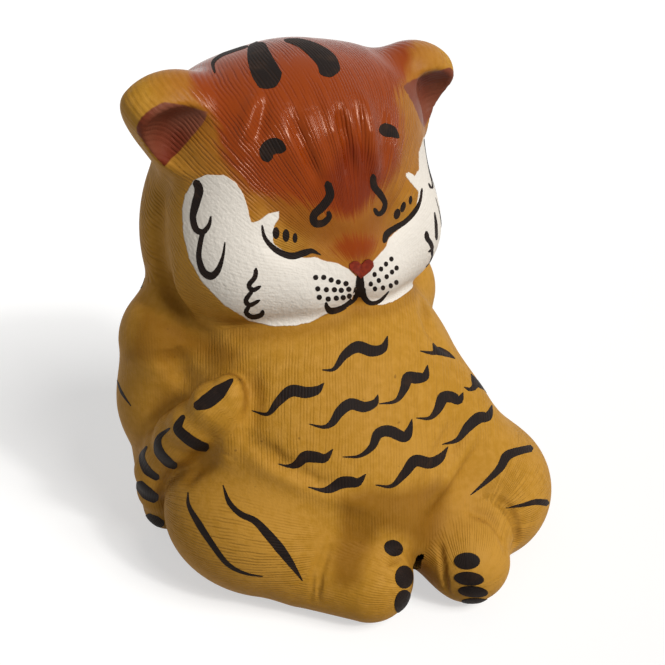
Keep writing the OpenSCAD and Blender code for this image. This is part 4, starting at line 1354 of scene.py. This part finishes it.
# Strokes that the photograph doesn't show, in millimetres: widths, then distances round the back and
# heights
WIDE_WAVE = (0.2, 0.8, 1.5, 1.7, 1.3, 0.7, 0.2)
BACK_STRIPES = (
    ((2, 16), (5, 17), (8, 20), (11, 21), (15, 19)),
    ((2, 27), (5, 28), (8, 31), (11, 32), (15, 30)),
    ((2, 38), (5, 39), (8, 42), (11, 43), (15, 41)),
    ((3, 52), (7, 53), (11, 56), (15, 57), (20, 55)),
    ((4, 64), (8, 65), (12, 68), (16, 69), (21, 67)),
    ((4, 75), (8, 76), (12, 79), (16, 80), (20, 78)),
    ((3, 85), (6, 86), (9, 88), (13, 88)),
)
ARM_STRIPES = (
    ((17, 46), (20, 45), (22, 43), (24, 40)),
    ((17, 37), (20, 36), (22, 34), (24.5, 31)),
    ((15, 25), (18, 24), (20, 22), (23, 19)),
)


def strokes(marks, thick, **how):
    return [slip_sheet(stroke_grid(points, widths), False, thick, **how) for points, widths in marks]


def round_strokes(marks, thick):
    """Strokes on both sides of the back."""
    sheets = []
    for points in marks:
        widths = np.interp(np.linspace(0, 1, len(points)), np.linspace(0, 1, len(WIDE_WAVE)), WIDE_WAVE)
        grid = stroke_grid(points, widths, 5, 0.4)
        for side in (1.0, -1.0):
            sheets.append(slip_sheet(grid * np.array([side, 1.0]), False, thick, round_lines))
    return sheets


def belly_marks():
    marks = []
    for points in BELLY_STRIPES:
        widths = np.interp(np.linspace(0, 1, len(points)), np.linspace(0, 1, len(WAVE)), WAVE)
        marks.append((points, widths))
    return tuple(marks) + SHORT_STRIPES


class ClaySizes(bpy.types.PropertyGroup):
    grid_step: bpy.props.FloatProperty(
        name="Modelling step", description="Spacing of the points on the clay's surface", default=0.00066,
        min=0.0004, max=0.0015, precision=5, unit="LENGTH")
    comb_spacing: bpy.props.FloatProperty(
        name="Comb spacing", description="Distance between combed hair lines", default=0.00052, min=0.0003,
        max=0.002, precision=5, unit="LENGTH")
    comb_depth: bpy.props.FloatProperty(
        name="Comb depth", description="Depth of the combed hair lines", default=0.00012, min=0.0, max=0.0005,
        precision=5, unit="LENGTH")
    slip_thickness: bpy.props.FloatProperty(
        name="Slip thickness", description="How far brushed slip stands on the clay", default=0.00007,
        min=0.00003, max=0.0003, precision=5, unit="LENGTH")
    toe_thickness: bpy.props.FloatProperty(
        name="Toe thickness", description="How far the dabs on the toes stand on the clay", default=0.0003,
        min=0.0001, max=0.001, precision=5, unit="LENGTH")
    nose_thickness: bpy.props.FloatProperty(
        name="Nose thickness", description="How far the nose stands on the muzzle", default=0.00045, min=0.0002,
        max=0.002, precision=5, unit="LENGTH")


def colour_property(name, description, text):
    return bpy.props.FloatVectorProperty(
        name=name, description=description, subtype="COLOR", size=4, min=0, max=1, default=hex_colour(text))


class SlipColours(bpy.types.PropertyGroup):
    ochre: colour_property("Ochre", "Ochre slip over most of the figure", "#B07E28")
    ochre_light: colour_property("Light ochre", "Ochre where the slip is thick", "#BC8936")
    # Deep ochre also stands in for painted shade in hollows, on the shoulder and between the shins
    ochre_deep: colour_property("Deep ochre", "Ochre stained in hollows and combed lines", "#74480A")
    speck: colour_property("Speck", "Iron specks in the clay", "#3C2412")
    rust: colour_property("Rust", "Rust slip of the forehead", "#8C3805")
    rust_deep: colour_property("Deep rust", "Rust in combed lines and the middle of the forehead", "#6A1602")
    rust_sheen: colour_property("Rust sheen", "Warm sheen of the iron in the rust slip", "#FFDAC3")
    white: colour_property("White", "White slip of the cheeks", "#E8E0D4")
    white_deep: colour_property("White in lines", "White in the combed lines", "#B9AC98")
    ear: colour_property("Ear", "Red slip inside the ears", "#7E4A36")
    ear_deep: colour_property("Deep ear", "Deepest red inside the ears", "#6E2A16")
    black: colour_property("Black", "Black slip of the stripes", "#1C1512")
    black_thin: colour_property("Thin black", "Black slip where it is thin", "#38271C")
    nose: colour_property("Nose", "Red slip of the nose", "#8A2E14")
    nose_deep: colour_property("Deep nose", "Nose where the slip is thick", "#6E1C0A")
    bare: colour_property("Bare clay", "Clay without slip", "#B8925C")
    bare_deep: colour_property("Bare clay shade", "Darker clay without slip", "#9A7442")
    floor: colour_property("Floor", "The pale table", "#C2C1BF")


class StageLights(bpy.types.PropertyGroup):
    key: bpy.props.FloatProperty(
        name="Key light", description="Strength of the main soft light on a face turned to it",
        default=0.66, min=0)
    glint: bpy.props.FloatProperty(
        name="Glint light", description="Strength of the small lamp that glints on satin slip",
        default=0.28, min=0)
    surround: bpy.props.FloatProperty(
        name="Surround", description="Strength of the light from all round", default=0.23, min=0)


class TEAPET_OT_body(bpy.types.Operator):
    """Make the front and back shells of the body"""
    bl_idname = "teapet.body"
    bl_label = "Body"

    def execute(self, context):
        clay_piece("body_front")
        clay_piece("body_back")
        return {"FINISHED"}


class TEAPET_OT_head(bpy.types.Operator):
    """Make the face and the back of the head"""
    bl_idname = "teapet.head"
    bl_label = "Head"

    def execute(self, context):
        clay_piece("head_front")
        clay_piece("head_back")
        return {"FINISHED"}


class TEAPET_OT_ears(bpy.types.Operator):
    """Make both ears"""
    bl_idname = "teapet.ears"
    bl_label = "Ears"

    def execute(self, context):
        clay_piece("right_ear")
        clay_piece("left_ear")
        return {"FINISHED"}


class TEAPET_OT_muzzle(bpy.types.Operator):
    """Make both whisker pads and the nose"""
    bl_idname = "teapet.muzzle"
    bl_label = "Muzzle and nose"

    def execute(self, context):
        clay_piece("right_muzzle")
        clay_piece("left_muzzle")
        outline = np.array(NOSE_HEART, float)
        middle = np.array([361.0, 267.5])
        share = np.linspace(0.04, 1, 7)
        grid = middle + share[:, None, None] * (outline - middle)[None]
        sheet = slip_sheet(grid, True, context.scene.tea_pet_clay.nose_thickness / MM)
        slip_piece("nose_heart", [sheet], red_slip(), ("nose",))
        return {"FINISHED"}


class TEAPET_OT_arms(bpy.types.Operator):
    """Make both arms"""
    bl_idname = "teapet.arms"
    bl_label = "Arms"

    def execute(self, context):
        clay_piece("right_arm")
        clay_piece("left_arm")
        return {"FINISHED"}


class TEAPET_OT_legs(bpy.types.Operator):
    """Make both thighs and both paws"""
    bl_idname = "teapet.legs"
    bl_label = "Legs"

    def execute(self, context):
        for name in ("right_thigh", "left_thigh", "right_paw", "left_paw"):
            clay_piece(name)
        return {"FINISHED"}


class TEAPET_OT_tail(bpy.types.Operator):
    """Make the tail"""
    bl_idname = "teapet.tail"
    bl_label = "Tail"

    def execute(self, context):
        clay_piece("tail")
        return {"FINISHED"}


class TEAPET_OT_base(bpy.types.Operator):
    """Give the base disc and the neck collar their bare clay"""
    bl_idname = "teapet.base"
    bl_label = "Base and collar"

    def execute(self, context):
        material = bare_clay()
        for name in ("base_disc", "neck_collar"):
            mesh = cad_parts[name].data
            mesh.materials.clear()
            mesh.materials.append(material)
        return {"FINISHED"}


class TEAPET_OT_face_marks(bpy.types.Operator):
    """Brush the black marks of the face"""
    bl_idname = "teapet.face_marks"
    bl_label = "Face marks"

    def execute(self, context):
        thick = context.scene.tea_pet_clay.slip_thickness / MM
        material = black_slip()
        slip_piece("crown_stripes", strokes(CROWN_STRIPES, thick), material)
        slip_piece("brow_dabs", strokes(BROWS, thick), material)
        slip_piece("nose_hooks", strokes(NOSE_HOOKS, thick), material)
        lashes = [slip_sheet(dab_grid(*d, 4, 14), True, thick) for d in LASHES]
        slip_piece("eye_lines", strokes(EYE_LINES, thick) + lashes, material)
        scrolls = BIG_SCROLL + SMALL_SCROLL
        both = strokes(scrolls, thick) + strokes(BIG_SCROLL, thick, mirrored=True)
        both += strokes(LEFT_CHEEK_ENDS, thick, on_face=True)
        slip_piece("cheek_scrolls", both, material)
        slip_piece("mouth_line", strokes(MOUTH, thick), material)
        dots = [slip_sheet(dab_grid(m, (5.4, 5.4), 0, 4, 12), True, thick) for m in RIGHT_WHISKERS]
        dots += [slip_sheet(dab_grid(m, (4.4, 5.2), 0, 4, 12), True, thick) for m in LEFT_WHISKERS]
        slip_piece("whisker_dots", dots, material)
        return {"FINISHED"}


# The tail's bands: points across, the pace along in pixels, and how much thicker their slip is
BAND_COLUMNS, BAND_PACE, BAND_THICKER = 11, 1.1, 1.5


class TEAPET_OT_body_marks(bpy.types.Operator):
    """Brush the stripes of the body, legs and tail, and dab the toes"""
    bl_idname = "teapet.body_marks"
    bl_label = "Body marks"

    def execute(self, context):
        sizes = context.scene.tea_pet_clay
        thick = sizes.slip_thickness / MM
        material = black_slip()
        slip_piece("belly_stripes", strokes(belly_marks(), thick), material)
        slip_piece("thigh_stripes", strokes(THIGH_STRIPES, thick), material)
        grids = [stroke_grid(points, widths, BAND_COLUMNS, BAND_PACE) for points, widths in TAIL_BANDS]
        bands = [slip_sheet(grid, False, BAND_THICKER * thick) for grid in grids]
        slip_piece("tail_bands", bands, material)
        arms = strokes(ARM_MARKS, thick) + round_strokes(ARM_STRIPES, thick)
        slip_piece("arm_marks", arms, material)
        backs = round_strokes(BACK_STRIPES, thick) + strokes(RUFF_STRIPE, thick)
        slip_piece("back_stripes", backs, material)
        toes = sizes.toe_thickness / MM
        for name, dabs in (("right_toe_dabs", RIGHT_TOES), ("left_toe_dabs", LEFT_TOES)):
            slip_piece(name, [slip_sheet(dab_grid(*d), True, toes) for d in dabs], material)
        return {"FINISHED"}


# Half the table's side, its height just under the figure's foot, and how far off the lamps stand, in metres
TABLE_REACH, TABLE_TOP = 1.5, -0.00005
LAMP_AWAY = 0.5
# Width of the camera's film in millimetres, and the nearest that it sees, in metres
FILM_WIDTH, NEAREST_SEEN = 36.0, 0.01


class TEAPET_OT_stage(bpy.types.Operator):
    """Set up the table, the soft lights and the camera"""
    bl_idname = "teapet.stage"
    bl_label = "Stage"

    def execute(self, context):
        scene = context.scene
        lights = scene.tea_pet_lights
        scene.view_settings.view_transform = "Standard"
        aim = CAMERA_AIM * MM
        camera = bpy.data.cameras.new("photo_camera")
        camera.sensor_width = FILM_WIDTH
        camera.lens = FILM_WIDTH * PHOTO_FOCAL / PHOTO_SIZE
        camera.clip_start = NEAREST_SEEN
        holder = bpy.data.objects.new("photo_camera", camera)
        scene.collection.objects.link(holder)
        matrix = np.eye(4)
        matrix[:3, 0], matrix[:3, 1], matrix[:3, 2], matrix[:3, 3] = RIGHTWARD, UPWARD, BACKWARD, EYE * MM
        holder.matrix_world = Matrix(matrix.tolist())
        scene.camera = holder
        mesh = bpy.data.meshes.new("table")
        turns = ((-1, -1), (1, -1), (1, 1), (-1, 1))
        corners = [(x * TABLE_REACH, y * TABLE_REACH, TABLE_TOP) for x, y in turns]
        mesh.from_pydata(corners, [], [(0, 1, 2, 3)])
        mesh.materials.append(pale_table(lights))
        table = bpy.data.objects.new("table", mesh)
        scene.collection.objects.link(table)
        for name, turn, rise, spread, strength in (
            ("key_light", KEY_TURN, KEY_RISE, KEY_SPREAD, lights.key),
            ("glint_light", GLINT_TURN, GLINT_RISE, GLINT_SPREAD, lights.glint),
        ):
            lamp = bpy.data.lights.new(name, "SUN")
            lamp.angle = math.radians(spread)
            lamp.energy = math.pi * strength
            out = direction(turn, rise)
            side = np.cross([0, 0, 1], out)
            side /= np.linalg.norm(side)
            place = np.eye(4)
            place[:3, 0], place[:3, 1], place[:3, 2] = side, np.cross(out, side), out
            place[:3, 3] = aim + LAMP_AWAY * out
            lit = bpy.data.objects.new(name, lamp)
            lit.matrix_world = Matrix(place.tolist())
            scene.collection.objects.link(lit)
        world = bpy.data.worlds.new("studio")
        scene.world = world
        world.use_nodes = True
        tree = world.node_tree
        tree.nodes.clear()
        strength = add_node(
            tree, "ShaderNodeMapRange", {"Value": seen_share(tree), "To Min": lights.surround, "To Max": 1.0})
        glow = add_node(tree, "ShaderNodeBackground", {"Color": (1, 1, 1, 1), "Strength": strength})
        add_node(tree, "ShaderNodeOutputWorld", {"Surface": glow})
        return {"FINISHED"}


OPERATORS = (
    TEAPET_OT_body, TEAPET_OT_head, TEAPET_OT_ears, TEAPET_OT_muzzle, TEAPET_OT_arms, TEAPET_OT_legs,
    TEAPET_OT_tail, TEAPET_OT_base, TEAPET_OT_face_marks, TEAPET_OT_body_marks, TEAPET_OT_stage,
)


class TEAPET_PT_panel(bpy.types.Panel):
    """Lists the pieces of the tea pet"""
    bl_idname = "TEAPET_PT_panel"
    bl_label = "Clay tea pet"
    bl_space_type = "VIEW_3D"
    bl_region_type = "UI"
    bl_category = "Tea pet"

    def draw(self, context):
        layout = self.layout
        for group in (context.scene.tea_pet_clay, context.scene.tea_pet_colours, context.scene.tea_pet_lights):
            box = layout.box()
            for key in group.__annotations__:
                box.prop(group, key)
        for operator in OPERATORS:
            layout.operator(operator.bl_idname)


CLASSES = (ClaySizes, SlipColours, StageLights) + OPERATORS + (TEAPET_PT_panel,)


def register():
    for item in CLASSES:
        bpy.utils.register_class(item)
    bpy.types.Scene.tea_pet_clay = bpy.props.PointerProperty(type=ClaySizes)
    bpy.types.Scene.tea_pet_colours = bpy.props.PointerProperty(type=SlipColours)
    bpy.types.Scene.tea_pet_lights = bpy.props.PointerProperty(type=StageLights)


def unregister():
    del bpy.types.Scene.tea_pet_lights
    del bpy.types.Scene.tea_pet_colours
    del bpy.types.Scene.tea_pet_clay
    for item in reversed(CLASSES):
        bpy.utils.unregister_class(item)


def main():
    register()
    for operator in OPERATORS:
        family, name = operator.bl_idname.split(".")
        getattr(getattr(bpy.ops, family), name)()
    bpy.context.view_layer.update()


if __name__ == "__main__":
    main()
